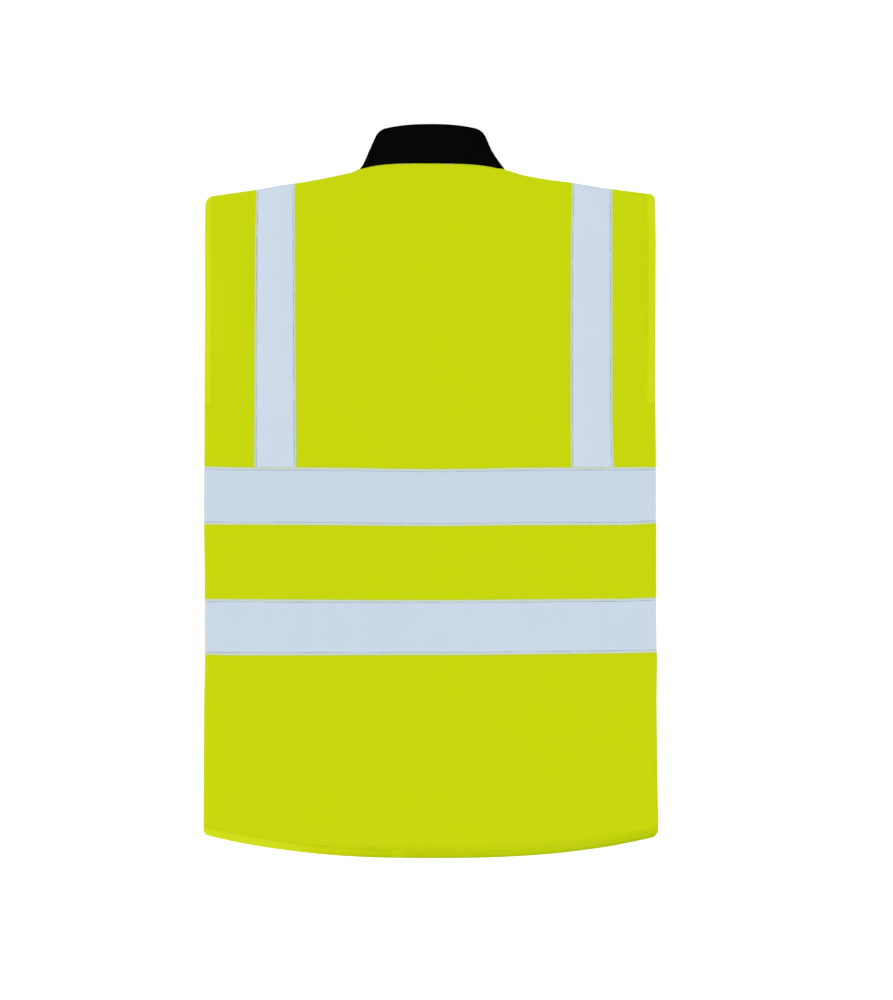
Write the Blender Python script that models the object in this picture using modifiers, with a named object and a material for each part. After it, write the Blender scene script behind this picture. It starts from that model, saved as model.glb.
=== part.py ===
"""A padded reversible bodywarmer, laid flat on the plane z = 0 with its back uppermost.

+Z is up, +Y runs from the hem to the collar and +X is the wearer's right. The two fronts lie
beneath the back, joined by a closed zip, and the stand collar is folded flat with them. Every
panel is a padded slab: a grid of columns and rows fitted to the outline of its layer, with a
lower and an upper face whose heights are worked out from the distance to the nearest edge.
What is sewn on a panel uses the panel's own columns and rows.
"""

import math

import bmesh
import bpy

# ---- driving dimensions, in metres ----------------------------------------------------------

SEAM_GAP = 0.0003  # between pieces that are sewn to each other
STATION_GAP = SEAM_GAP / 2

# Outline of the body
HALF_HEM = 0.2722  # half the width at the side ends of the hem
HALF_TIP = 0.2692  # half the width at the shoulder tips
HEM_SIDE_Y = -0.4115  # where both hems meet the side seams
TAIL_Y = -0.4400  # middle of the dropped tail
TAIL_BEND = {-1: 2.3, 1: 2.6}  # exponent of the tail's curve, left and right
UNDERARM_Y = 0.1240
TIP_Y = 0.3535
TIP_RADIUS = {-1: 0.0150, 1: 0.0065}
SHOULDER_BEND = 0.85
ARMHOLE_SCOOP = 0.0250  # how much deeper the fronts are cut at the armhole

# Neck and collar
NECK_HALF = 0.0870  # neck point, where shoulder seam, collar and fold meet
NECK_POINT_Y = 0.3860
NAPE_Y = 0.3924
THROAT_Y = 0.3140
NAPE_BEND = 3.5
THROAT_BEND = 2.7
COLLAR_TOP_HALF = 0.0620
COLLAR_SIDE_BEND = 0.9
COLLAR_TOP_Y = 0.4400
COLLAR_SHOULDER_Y = 0.4320
COLLAR_TOP_BEND = 3.0
COLLAR_FRONT_HEIGHT = 0.0500
COLLAR_WALL = 0.0030
COLLAR_BACK_Z = 0.0081  # middle of the wall in the back half
COLLAR_FRONT_Z = 0.0027  # and in the front half

# Padded cloth
PAD = 0.0056  # thickness of one layer
SEAM_LOFT = 0.0040  # what the outer face loses where two layers are sewn together
SEAM_ROLL = 0.0120  # width of that rounded edge
FREE_LOFT = 0.0020  # what each face loses at a bound edge
FREE_ROLL = 0.0055
GROOVE = 0.0006  # stitched groove along a binding
GROOVE_REACH = 0.0025
ARMHOLE_BINDING = 0.0080
HEM_BINDING = 0.0100
FREE_BLEND = 0.0200  # length over which the side seam opens into the armhole's bound edge
NECK_BLEND = 0.0100  # and the neck seam becomes the shoulder seam
DROOP = 0.0052  # how far the back sinks where it reaches past the fronts
DROOP_START = 0.0060
DROOP_REACH = 0.0140

# Reflective tape
TAPE = 0.0006
RECESS = TAPE + SEAM_GAP  # the fronts give way to their tape, so that both lie on the table
BANDS = {"lower": (-0.1963, -0.1303), "upper": (-0.0409, 0.0277)}  # bottom and top edge
BRACES = {"left": (-0.2116, -0.1622), "right": (0.1679, 0.2186)}  # outline in x

# Zip
FRONT_EDGE = 0.0083  # from the middle of the zip to the edge of each front
ZIP_SEAM = 0.0040  # width of the edge of each front beside the zip
ZIP_TAPE_OUTER = FRONT_EDGE - SEAM_GAP
ZIP_TAPE_INNER = 0.0033
ZIP_TAPE_Z = (0.0037, 0.0045)
CHAIN_HALF = 0.0030
CHAIN_Z = (0.0034, 0.0048)
BOX_LENGTH = 0.0100
BOX_Z = (0.0027, 0.0053)
SLIDER_Y = 0.3520
SLIDER_HALF_LENGTH = 0.0052
SLIDER_HALF_TOP = 0.0046
SLIDER_HALF_BOTTOM = 0.0034
SLIDER_LOWER_Z = (0.0025, 0.0032)
SLIDER_UPPER_Z = (0.0050, 0.0056)
DIVIDER_HALF = 0.0012
DIVIDER_LENGTH = 0.0030
BRIDGE_HALF = 0.0010
BRIDGE_HALF_LENGTH = 0.0025
BRIDGE_HALF_OPENING = 0.0016
BRIDGE_BOTTOM_Z = 0.0001
BRIDGE_OPENING_Z = 0.0008
PULL_AXIS_Z = (BRIDGE_OPENING_Z + SLIDER_LOWER_Z[0]) / 2
PULL_LENGTH = 0.0260
PULL_HALF = 0.0030
PULL_THICKNESS = 0.0008
PULL_WINDOW_HALF = 0.0016
PULL_WINDOW_LENGTH = 0.0035
ZIP_BEVEL = 0.0003
METAL_BEVEL = 0.0002
METAL_JOIN = 0.0003  # how deep the slider's parts run into each other

BACK_LOWER_Z = PAD + SEAM_GAP
BACK_UPPER_Z = BACK_LOWER_Z + PAD
FOLD_RADIUS = (COLLAR_BACK_Z - COLLAR_FRONT_Z) / 2
FOLD_REACH = FOLD_RADIUS + COLLAR_WALL / 2
NECK_RUN = NECK_HALF - FOLD_REACH  # half the straight run of the neck seam

# Places of the columns and rows, as distances from an edge or as shares of a run
EDGE_ZONE = 0.0130  # columns and rows this close to an edge follow it rigidly
EDGE_STEPS = (0.0, 0.0015, 0.0040, 0.0078, EDGE_ZONE)
FRONT_SHARE = FRONT_EDGE / NECK_RUN
NECK_SHARES = (FRONT_SHARE, 0.35, 0.6, 0.8, 0.92, 1.0)
COLLAR_HEIGHTS = (0.0, 0.3, 0.6, 0.85, 1.0)
FOLD_ANGLES = (60, 30, 0, -30, -60)
OUTER_COLUMNS = (0.2320, 0.2460)
TAIL_ROWS = (0.0200, 0.0300)
BODY_ROWS = (-0.3550, -0.2750, -0.0850, 0.0750)
ARMHOLE_ROWS = (0.1500, 0.1950, 0.2400, 0.2850, 0.3250)

# ---- small helpers --------------------------------------------------------------------------


def clamp(value, low=0.0, high=1.0):
    return max(low, min(high, value))


def ease(value):
    share = clamp(value)
    return share * share * (3 - 2 * share)


def fall(distance, reach):
    """1 at an edge and 0 from reach inwards, on a parabola that ends flat."""
    return clamp(1 - abs(distance) / reach) ** 2


def side_of(x):
    return -1 if x < 0 else 1


# ---- outline of the two layers --------------------------------------------------------------


def half_width(y):
    return HALF_HEM + (HALF_TIP - HALF_HEM) * clamp((y - HEM_SIDE_Y) / (TIP_Y - HEM_SIDE_Y))


def tip_turn(y, side):
    """How far the rounded shoulder tip has turned in at this height."""
    radius = TIP_RADIUS[side]
    rise = clamp((y - (TIP_Y - radius)) / radius)
    return radius * (1 - math.sqrt(1 - rise * rise))


def armhole_share(y):
    """0 at the underarm and at the shoulder tip, 1 halfway between them."""
    rise = clamp((y - UNDERARM_Y) / (TIP_Y - UNDERARM_Y))
    return math.sin(math.pi * rise)


def back_side(y, side):
    return half_width(y) - tip_turn(y, side)


def front_side(y, side):
    return back_side(y, side) - ARMHOLE_SCOOP * armhole_share(y)


def back_hem(x):
    rise = HEM_SIDE_Y - TAIL_Y
    return TAIL_Y + rise * (abs(x) / HALF_HEM) ** TAIL_BEND[side_of(x)]


def front_hem(x):
    return HEM_SIDE_Y


def shoulder(x):
    run = clamp((abs(x) - NECK_HALF) / (HALF_TIP - NECK_HALF))
    return NECK_POINT_Y - SEAM_GAP - (NECK_POINT_Y - TIP_Y) * run**SHOULDER_BEND


def neck_seam(share, middle_y, bend):
    """The neck seam at a share of its run, from the middle to the neck point."""
    return middle_y + (NECK_POINT_Y - middle_y) * share**bend


def neck_edge(x, middle_y, bend):
    """The panel's edge, a seam gap below the neck seam however steep that is."""
    share = abs(x) / NECK_RUN
    slope = (NECK_POINT_Y - middle_y) * bend * share ** (bend - 1) / NECK_RUN
    return neck_seam(share, middle_y, bend) - SEAM_GAP * math.hypot(1, slope)


def back_top(x):
    return neck_edge(x, NAPE_Y, NAPE_BEND) if abs(x) <= NECK_RUN else shoulder(x)


def front_top(x):
    return neck_edge(x, THROAT_Y, THROAT_BEND) if abs(x) <= NECK_RUN else shoulder(x)


LAYERS = {
    "back": {"side": back_side, "hem": back_hem, "top": back_top},
    "front": {"side": front_side, "hem": front_hem, "top": front_top},
}

# ---- from columns and rows to places --------------------------------------------------------

SHIFT_FREE_X = 0.2220  # columns inside this keep their place
SHIFT_FREE_HEM_Y = BANDS["lower"][0] - 2 * SEAM_GAP
SHIFT_FREE_TOP_Y = BANDS["upper"][1] + 2 * SEAM_GAP


def place(layer, column, row):
    """The point of a layer that a nominal column and row stand for.

    Columns near the sides move with the side edge, rows near the hem or the top with those,
    and whatever carries tape stays straight.
    """
    outline = LAYERS[layer]
    hem_share = clamp((SHIFT_FREE_HEM_Y - row) / (SHIFT_FREE_HEM_Y - (TAIL_Y + 2 * EDGE_ZONE)))
    top_share = clamp((row - SHIFT_FREE_TOP_Y) / (NAPE_Y - EDGE_ZONE - SHIFT_FREE_TOP_Y))
    y = row + (outline["hem"](column) - TAIL_Y) * hem_share
    y += (outline["top"](column) - NAPE_Y) * top_share
    side = side_of(column)
    rigid_x = HALF_HEM - EDGE_ZONE
    side_share = clamp((abs(column) - SHIFT_FREE_X) / (rigid_x - SHIFT_FREE_X))
    x = abs(column) + (outline["side"](y, side) - HALF_HEM) * side_share
    return side * x, y


def panel_column(column, row):
    """A panel's side column, which gives way to the armhole binding above the underarm."""
    inside = HALF_HEM - abs(column)
    if row < UNDERARM_Y or inside >= EDGE_ZONE:
        return column
    bound = ARMHOLE_BINDING + STATION_GAP
    return side_of(column) * (HALF_HEM - bound - inside * (1 - bound / EDGE_ZONE))


def edge_columns(side):
    return [side * (HALF_HEM - step) for step in EDGE_STEPS]


# ---- heights of the faces -------------------------------------------------------------------


def edge_shares(layer, x, y):
    """(outer, inner) shares of the loft that the edges take at this point.

    The outer face rounds over at seams and at bound edges, the inner one at bound edges only.
    """
    outline = LAYERS[layer]
    free = ease((y - UNDERARM_Y) / FREE_BLEND)
    at_neck = 1 - ease((abs(x) - NECK_RUN) / NECK_BLEND)
    from_side = outline["side"](y, side_of(x)) - abs(x)
    from_top = outline["top"](x) - y
    from_hem = y - outline["hem"](x)
    bound = FREE_LOFT / SEAM_LOFT
    side_outer = (1 - free) * fall(from_side, SEAM_ROLL) + free * bound * fall(from_side, FREE_ROLL)
    top_outer = (1 - at_neck) * fall(from_top, SEAM_ROLL) + at_neck * bound * fall(from_top, FREE_ROLL)
    hem_outer = bound * fall(from_hem, FREE_ROLL)
    outer = 1 - (1 - side_outer) * (1 - top_outer) * (1 - hem_outer)
    side_inner = free * fall(from_side, FREE_ROLL)
    top_inner = at_neck * fall(from_top, FREE_ROLL)
    inner = 1 - (1 - side_inner) * (1 - top_inner) * (1 - fall(from_hem, FREE_ROLL))
    armhole_groove = free * fall(from_side - ARMHOLE_BINDING, GROOVE_REACH)
    groove = max(armhole_groove, fall(from_hem - HEM_BINDING, GROOVE_REACH))
    return outer, inner, groove


def droop(x, y):
    """How far the back sinks towards the table where no front lies beneath it."""
    past_hem = front_hem(x) - y
    past_armhole = abs(x) - front_side(y, side_of(x)) if y > UNDERARM_Y else 0.0
    past = max(past_hem, past_armhole) - DROOP_START
    return DROOP * ease(past / DROOP_REACH)


def back_lower(x, y):
    _, inner, groove = edge_shares("back", x, y)
    return BACK_LOWER_Z + FREE_LOFT * inner + GROOVE * groove / 2 - droop(x, y)


def back_upper(x, y):
    outer, _, groove = edge_shares("back", x, y)
    return BACK_UPPER_Z - SEAM_LOFT * outer - GROOVE * groove - droop(x, y)


def front_underside(x, y):
    """Height of the fronts' outward face, or of the tape that is sewn flush with it."""
    outer, _, groove = edge_shares("front", x, y)
    return SEAM_LOFT * outer + GROOVE * groove


def within(value, spans):
    """Whether a value lies in one of the spans, each widened past its seam gap."""
    margin = 1.5 * SEAM_GAP
    return any(low - margin <= value <= high + margin for low, high in spans)


def under_tape(x, y):
    in_band = within(y, BANDS.values())
    on_brace = within(x, BRACES.values()) and y > BANDS["upper"][1]
    return in_band or on_brace


def front_lower(x, y):
    return front_underside(x, y) + (RECESS if under_tape(x, y) else 0.0)


def front_upper(x, y):
    _, inner, groove = edge_shares("front", x, y)
    return PAD - FREE_LOFT * inner - GROOVE * groove / 2


# ---- collections and materials --------------------------------------------------------------


def new_collection(name):
    collection = bpy.data.collections.new(name)
    bpy.context.scene.collection.children.link(collection)
    return collection


def new_material(name, colour, roughness, metallic=0.0):
    material = bpy.data.materials.new(name)
    material.use_nodes = True
    shader = material.node_tree.nodes["Principled BSDF"]
    shader.inputs["Base Color"].default_value = (*colour, 1.0)
    shader.inputs["Roughness"].default_value = roughness
    shader.inputs["Metallic"].default_value = metallic
    return material


def new_object(name, bm, collection, material=None):
    mesh = bpy.data.meshes.new(name)
    bm.to_mesh(mesh)
    bm.free()
    if material:
        mesh.materials.append(material)
    piece = bpy.data.objects.new(name, mesh)
    collection.objects.link(piece)
    return piece


def clear_scene():
    for piece in list(bpy.data.objects):
        bpy.data.objects.remove(piece, do_unlink=True)


# ---- makers ---------------------------------------------------------------------------------


def face_outwards(bm):
    bmesh.ops.recalc_face_normals(bm, faces=bm.faces[:])
    if bm.calc_volume(signed=True) < 0:
        bmesh.ops.reverse_faces(bm, faces=bm.faces[:])


def station(value, count):
    """Index of a unit grid's coordinate, which runs from -0.5 to 0.5."""
    return round((value + 0.5) * (count - 1))


def grid(columns, rows):
    """A flat unit grid with one vertex for each column and row."""
    bm = bmesh.new()
    bmesh.ops.create_grid(bm, x_segments=len(columns) - 1, y_segments=len(rows) - 1, size=0.5)
    return bm


def slab(name, columns, rows, locate, lower, upper, owner):
    """A closed slab: locate(column, row) gives its plan, lower and upper its two faces."""
    columns = sorted(columns)
    rows = sorted(rows)
    bm = grid(columns, rows)
    for vertex in bm.verts:
        column = columns[station(vertex.co.x, len(columns))]
        row = rows[station(vertex.co.y, len(rows))]
        x, y = locate(column, row)
        vertex.co = (x, y, lower(x, y))
    extruded = bmesh.ops.extrude_face_region(bm, geom=bm.faces[:])
    for vertex in extruded["geom"]:
        if isinstance(vertex, bmesh.types.BMVert):
            vertex.co.z = upper(vertex.co.x, vertex.co.y)
    face_outwards(bm)
    return new_object(name, bm, *owner)


def block(name, half_widths, y_range, z_range, bevel, owner):
    """A block whose half width changes from the low-y end to the high-y end, edges bevelled."""
    bm = bmesh.new()
    bmesh.ops.create_cube(bm, size=1.0)
    for vertex in bm.verts:
        upper_end = vertex.co.y > 0
        width = 2 * half_widths[upper_end]
        vertex.co.x *= width
        vertex.co.y = y_range[upper_end]
        vertex.co.z = z_range[vertex.co.z > 0]
    if bevel:
        bmesh.ops.bevel(bm, geom=bm.edges[:], offset=bevel, segments=1, affect="EDGES")
    face_outwards(bm)
    return new_object(name, bm, *owner)


def boolean(piece, other, operation):
    modifier = piece.modifiers.new(f"{operation.lower()} {other.name}", "BOOLEAN")
    modifier.operation = operation
    modifier.object = other
    other.hide_render = True
    other.display_type = "WIRE"


# ---- panels and bindings --------------------------------------------------------------------


def panel_rows(taped_rows):
    """The nominal rows of a panel, from above its hem binding to its top edge."""
    rows = [TAIL_Y + HEM_BINDING + STATION_GAP, TAIL_Y + EDGE_ZONE]
    rows += [TAIL_Y + step for step in TAIL_ROWS]
    rows += BODY_ROWS
    rows += taped_rows
    rows += [UNDERARM_Y - STATION_GAP, UNDERARM_Y + STATION_GAP]
    rows += top_rows()
    return rows


def top_rows():
    """The nominal rows that bindings and braces share with the panels above the underarm."""
    return [*ARMHOLE_ROWS, *(NAPE_Y - step for step in EDGE_STEPS)]


def recess_stations(low, high):
    return [low - 2 * SEAM_GAP, low - SEAM_GAP, high + SEAM_GAP, high + 2 * SEAM_GAP]


def back_columns():
    neck = [share * NECK_RUN for share in NECK_SHARES[1:]] + [NECK_HALF]
    columns = [0.0]
    for side in (-1, 1):
        columns += [side * x for x in (*neck, *OUTER_COLUMNS)]
        columns += edge_columns(side)
    for brace in BRACES.values():
        columns += brace
    return columns


def plain_front_columns(side):
    """The columns of a front, without those of the recess for its brace."""
    neck = [share * NECK_RUN for share in NECK_SHARES] + [NECK_HALF, FRONT_EDGE + ZIP_SEAM]
    return [side * x for x in (*neck, OUTER_COLUMNS[0])] + edge_columns(side)


def front_columns(side):
    brace = BRACES["left" if side < 0 else "right"]
    return plain_front_columns(side) + recess_stations(*brace)


def make_back(owner):
    taped = [y for band in BANDS.values() for y in band]
    rows = panel_rows(taped)

    def locate(column, row):
        return place("back", panel_column(column, row), row)

    slab("back_panel", back_columns(), rows, locate, back_lower, back_upper, owner)


def make_front(name, side, owner):
    taped = [y for band in BANDS.values() for y in recess_stations(*band)]
    rows = panel_rows(taped)

    def locate(column, row):
        return place("front", panel_column(column, row), row)

    slab(f"front_{name}", front_columns(side), rows, locate, front_lower, front_upper, owner)


def make_hem_binding(name, layer, columns, lower, upper, owner):
    """The strip that binds a hem, as wide as the panel that it finishes."""
    steps = [step for step in EDGE_STEPS if step < HEM_BINDING] + [HEM_BINDING - STATION_GAP]
    rows = [TAIL_Y + step for step in steps]

    def locate(column, row):
        return place(layer, column, row)

    slab(f"hem_binding_{name}", columns, rows, locate, lower, upper, owner)


def make_armhole_binding(name, layer, side, lower, upper, owner):
    steps = [step for step in EDGE_STEPS if step < ARMHOLE_BINDING - STATION_GAP]
    steps += [ARMHOLE_BINDING - STATION_GAP]
    columns = [side * (HALF_HEM - step) for step in steps]
    rows = [UNDERARM_Y + STATION_GAP, *top_rows()]

    def locate(column, row):
        return place(layer, column, row)

    slab(f"armhole_binding_{name}", columns, rows, locate, lower, upper, owner)


# ---- reflective tape ------------------------------------------------------------------------


def on_back_lower(x, y):
    return back_upper(x, y) + SEAM_GAP


def on_back_upper(x, y):
    return back_upper(x, y) + SEAM_GAP + TAPE


def in_front_upper(x, y):
    return front_underside(x, y) + TAPE


def brace_rows():
    return [BANDS["upper"][1] + SEAM_GAP, BODY_ROWS[-1], UNDERARM_Y, *top_rows()]


def make_back_tape(owner):
    def locate(column, row):
        return place("back", column, row)

    for name, band in BANDS.items():
        slab(f"band_{name}_back", back_columns(), band, locate, on_back_lower, on_back_upper, owner)
    for name, brace in BRACES.items():
        slab(f"brace_back_{name}", brace, brace_rows(), locate, on_back_lower, on_back_upper, owner)


def make_front_tape(name, side, owner):
    def locate(column, row):
        return place("front", column, row)

    for level, band in BANDS.items():
        band_name = f"band_{level}_front_{name}"
        slab(band_name, plain_front_columns(side), band, locate, front_underside, in_front_upper, owner)
    brace_name = f"brace_front_{name}"
    slab(brace_name, BRACES[name], brace_rows(), locate, front_underside, in_front_upper, owner)


# ---- collar ---------------------------------------------------------------------------------


def collar_half(height):
    return NECK_HALF - (NECK_HALF - COLLAR_TOP_HALF) * height**COLLAR_SIDE_BEND


def collar_side_y(height):
    return NECK_POINT_Y + (COLLAR_SHOULDER_Y - NECK_POINT_Y) * height


def collar_back_y(share, height):
    middle = NAPE_Y + (COLLAR_TOP_Y - NAPE_Y) * height
    bend = NAPE_BEND + (COLLAR_TOP_BEND - NAPE_BEND) * height
    return middle + (collar_side_y(height) - middle) * share**bend


def collar_front_y(share, height):
    middle = THROAT_Y + COLLAR_FRONT_HEIGHT * height
    return middle + (collar_side_y(height) - middle) * share**THROAT_BEND


def collar_stations():
    """Stations round the collar, from its left front edge over the back to its right one."""
    back = [("back", side * share) for side in (-1, 1) for share in NECK_SHARES[1:]]
    left_front = [("front", -share) for share in NECK_SHARES]
    right_front = [("front", share) for share in NECK_SHARES]
    left_fold = [("fold left", angle) for angle in reversed(FOLD_ANGLES)]
    right_fold = [("fold right", angle) for angle in FOLD_ANGLES]
    round_back = sorted([*back, ("back", 0.0)], key=lambda item: item[1])
    return [*left_front, *left_fold, *round_back, *right_fold, *reversed(right_front)]


def collar_point(kind, value, height):
    run = collar_half(height) - FOLD_REACH
    if kind == "back":
        return value * run, collar_back_y(abs(value), height), COLLAR_BACK_Z
    if kind == "front":
        along = (abs(value) - FRONT_SHARE) / (1 - FRONT_SHARE)
        x = FRONT_EDGE + (run - FRONT_EDGE) * along
        return side_of(value) * x, collar_front_y(abs(value), height), COLLAR_FRONT_Z
    side = -1 if kind == "fold left" else 1
    angle = math.radians(value)
    middle_z = (COLLAR_BACK_Z + COLLAR_FRONT_Z) / 2
    x = side * (run + FOLD_RADIUS * math.cos(angle))
    return x, collar_side_y(height), middle_z + FOLD_RADIUS * math.sin(angle)


def make_collar(owner):
    """One band folded flat at the neck points, open at the centre front for the zip."""
    stations = collar_stations()
    bm = grid(stations, COLLAR_HEIGHTS)
    for vertex in bm.verts:
        kind, value = stations[station(vertex.co.x, len(stations))]
        height = COLLAR_HEIGHTS[station(vertex.co.y, len(COLLAR_HEIGHTS))]
        vertex.co = collar_point(kind, value, height)
    collar = new_object("collar", bm, *owner)
    wall = collar.modifiers.new("wall", "SOLIDIFY")
    wall.thickness = COLLAR_WALL
    wall.offset = 0.0


# ---- zip ------------------------------------------------------------------------------------


def make_zip_tapes(owner):
    top_y = collar_front_y(0.0, 1.0)
    for name, side in (("left", -1), ("right", 1)):
        columns = [side * ZIP_TAPE_INNER, side * ZIP_TAPE_OUTER]
        slab(
            f"zip_tape_{name}",
            columns,
            [HEM_SIDE_Y, top_y],
            lambda column, row: (column, row),
            lambda x, y: ZIP_TAPE_Z[0],
            lambda x, y: ZIP_TAPE_Z[1],
            owner,
        )


def make_zip_chain(owner):
    low = HEM_SIDE_Y + BOX_LENGTH + SEAM_GAP
    high = SLIDER_Y + SLIDER_HALF_LENGTH - DIVIDER_LENGTH - SEAM_GAP
    block("zip_chain", (CHAIN_HALF, CHAIN_HALF), (low, high), CHAIN_Z, ZIP_BEVEL, owner)


def make_zip_box(owner):
    y_range = (HEM_SIDE_Y, HEM_SIDE_Y + BOX_LENGTH)
    block("zip_box", (CHAIN_HALF, CHAIN_HALF), y_range, BOX_Z, ZIP_BEVEL, owner)


def make_slider(owner, helpers):
    """Two plates round the chain, joined by a divider, with a bridge that holds the pull tab."""
    ends = (SLIDER_Y - SLIDER_HALF_LENGTH, SLIDER_Y + SLIDER_HALF_LENGTH)
    half_widths = (SLIDER_HALF_BOTTOM, SLIDER_HALF_TOP)
    slider = block("zip_slider", half_widths, ends, SLIDER_LOWER_Z, METAL_BEVEL, owner)
    upper = block("upper_plate", half_widths, ends, SLIDER_UPPER_Z, METAL_BEVEL, (helpers,))
    divider_y = (ends[1] - DIVIDER_LENGTH, ends[1] - METAL_JOIN)
    divider_z = (SLIDER_LOWER_Z[1] - METAL_JOIN, SLIDER_UPPER_Z[0] + METAL_JOIN)
    divider_half = (DIVIDER_HALF / 2, DIVIDER_HALF)
    divider = block("divider", divider_half, divider_y, divider_z, 0, (helpers,))
    bridge_y = (SLIDER_Y - BRIDGE_HALF_LENGTH, SLIDER_Y + BRIDGE_HALF_LENGTH)
    bridge_z = (BRIDGE_BOTTOM_Z, SLIDER_LOWER_Z[0] + METAL_JOIN)
    bridge = block("bridge", (BRIDGE_HALF, BRIDGE_HALF), bridge_y, bridge_z, METAL_BEVEL, (helpers,))
    opening_y = (SLIDER_Y - BRIDGE_HALF_OPENING, SLIDER_Y + BRIDGE_HALF_OPENING)
    opening_z = (BRIDGE_OPENING_Z, SLIDER_LOWER_Z[0])
    opening_half = 2 * BRIDGE_HALF
    opening = block("bridge_opening", (opening_half, opening_half), opening_y, opening_z, 0, (helpers,))
    boolean(slider, upper, "UNION")
    boolean(slider, divider, "UNION")
    boolean(slider, bridge, "UNION")
    boolean(slider, opening, "DIFFERENCE")


def make_pull(owner, helpers):
    """The pull tab, lying along the closed chain, with its origin on its hinge axis."""
    bar = PULL_THICKNESS / 2
    pull_y = (bar - PULL_LENGTH, bar)
    pull = block("zip_pull", (PULL_HALF, PULL_HALF), pull_y, (-bar, bar), METAL_BEVEL, owner)
    window_y = (-bar - PULL_WINDOW_LENGTH, -bar)
    window_half = (PULL_WINDOW_HALF, PULL_WINDOW_HALF)
    window = block("pull_window", window_half, window_y, (-2 * bar, 2 * bar), 0, (helpers,))
    boolean(pull, window, "DIFFERENCE")
    for piece in (pull, window):
        piece.location = (0.0, SLIDER_Y, PULL_AXIS_Z)


# ---- the bodywarmer -------------------------------------------------------------------------


def main():
    clear_scene()
    body = new_collection("reversible_bodywarmer")
    helpers = new_collection("cutters")
    yellow = new_material("hi_vis_yellow_cloth", (0.57, 0.68, 0.005), 0.8)
    binding = new_material("hi_vis_yellow_binding", (0.55, 0.66, 0.005), 0.75)
    silver = new_material("reflective_tape", (0.59, 0.69, 0.80), 0.45, 0.1)
    black = new_material("black_collar_cloth", (0.004, 0.004, 0.004), 0.9)
    zip_cloth = new_material("zip_tape_cloth", (0.012, 0.012, 0.012), 0.85)
    plastic = new_material("zip_plastic", (0.015, 0.015, 0.015), 0.4)
    metal = new_material("zip_metal", (0.05, 0.05, 0.05), 0.35, 0.9)

    make_back((body, yellow))
    make_hem_binding("back", "back", back_columns(), back_lower, back_upper, (body, binding))
    for name, side in (("left", -1), ("right", 1)):
        make_front(name, side, (body, yellow))
        columns = plain_front_columns(side)
        make_hem_binding(f"front_{name}", "front", columns, front_lower, front_upper, (body, binding))
        make_armhole_binding(f"back_{name}", "back", side, back_lower, back_upper, (body, binding))
        make_armhole_binding(f"front_{name}", "front", side, front_lower, front_upper, (body, binding))
        make_front_tape(name, side, (body, silver))
    make_back_tape((body, silver))
    make_collar((body, black))
    make_zip_tapes((body, zip_cloth))
    make_zip_chain((body, plastic))
    make_zip_box((body, plastic))
    make_slider((body, metal), helpers)
    make_pull((body, metal), helpers)


main()
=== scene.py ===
"""Looks of a padded reversible bodywarmer that lies flat on a pale floor with its back up.

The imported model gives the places. Every cloth piece is built again on its solid's form, with a
closer outline and finer stations: padding that rises between sewn lines, rolled and bound edges,
puckers, a few creases, reflective tape with its stitching, and the zip's teeth.
"""

import math

import bmesh
import bpy
import numpy as np
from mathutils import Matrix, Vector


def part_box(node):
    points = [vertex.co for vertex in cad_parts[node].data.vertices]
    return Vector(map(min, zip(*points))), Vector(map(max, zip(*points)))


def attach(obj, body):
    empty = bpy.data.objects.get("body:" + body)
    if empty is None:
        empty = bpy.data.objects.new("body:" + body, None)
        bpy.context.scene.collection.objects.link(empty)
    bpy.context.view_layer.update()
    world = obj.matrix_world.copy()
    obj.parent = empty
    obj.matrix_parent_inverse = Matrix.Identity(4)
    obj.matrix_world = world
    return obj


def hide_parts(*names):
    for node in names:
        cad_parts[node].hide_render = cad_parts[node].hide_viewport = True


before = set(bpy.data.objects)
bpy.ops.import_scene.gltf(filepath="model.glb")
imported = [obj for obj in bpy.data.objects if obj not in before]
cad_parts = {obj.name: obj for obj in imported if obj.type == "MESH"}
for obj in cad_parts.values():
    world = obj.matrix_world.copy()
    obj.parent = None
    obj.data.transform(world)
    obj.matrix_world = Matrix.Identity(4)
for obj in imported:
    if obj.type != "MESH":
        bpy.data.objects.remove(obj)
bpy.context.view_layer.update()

# ---- sizes that the frame gives, in metres ----


def lowest(node):
    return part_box(node)[0]


def highest(node):
    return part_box(node)[1]


SEAM_GAP = 0.0003  # between pieces that are sewn to each other
NECK_GAP = 0.00004  # between the drawn cloth of the panels and of the collar
HALF_HEM = highest("back_panel").x
HEM_SIDE_Y = lowest("hem_binding_front_left").y
TAIL_Y = lowest("hem_binding_back").y
UNDERARM_Y = lowest("armhole_binding_back_left").y - SEAM_GAP / 2
NAPE_Y = highest("back_panel").y + SEAM_GAP
THROAT_Y = lowest("collar").y
NECK_HALF = highest("collar").x
COLLAR_TOP_Y = highest("collar").y
PAD = highest("front_left").z  # thickness of one padded layer
BACK_LOWER_Z = PAD + SEAM_GAP
BACK_UPPER_Z = highest("back_panel").z
FRONT_EDGE = lowest("front_right").x  # from the middle of the zip to the edge of each front
ZIP_TAPE_Z = (lowest("zip_tape_left").z, highest("zip_tape_left").z)
ZIP_TAPE_INNER = lowest("zip_tape_right").x
CHAIN_Z = (lowest("zip_chain").z, highest("zip_chain").z)
CHAIN_Y = (lowest("zip_chain").y, highest("zip_chain").y)

# ---- the outline's own values, closer to the photo than the solids ----

HALF_TIP = 0.2692  # half the width at the shoulder tips
TIP_Y = 0.3535
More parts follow.
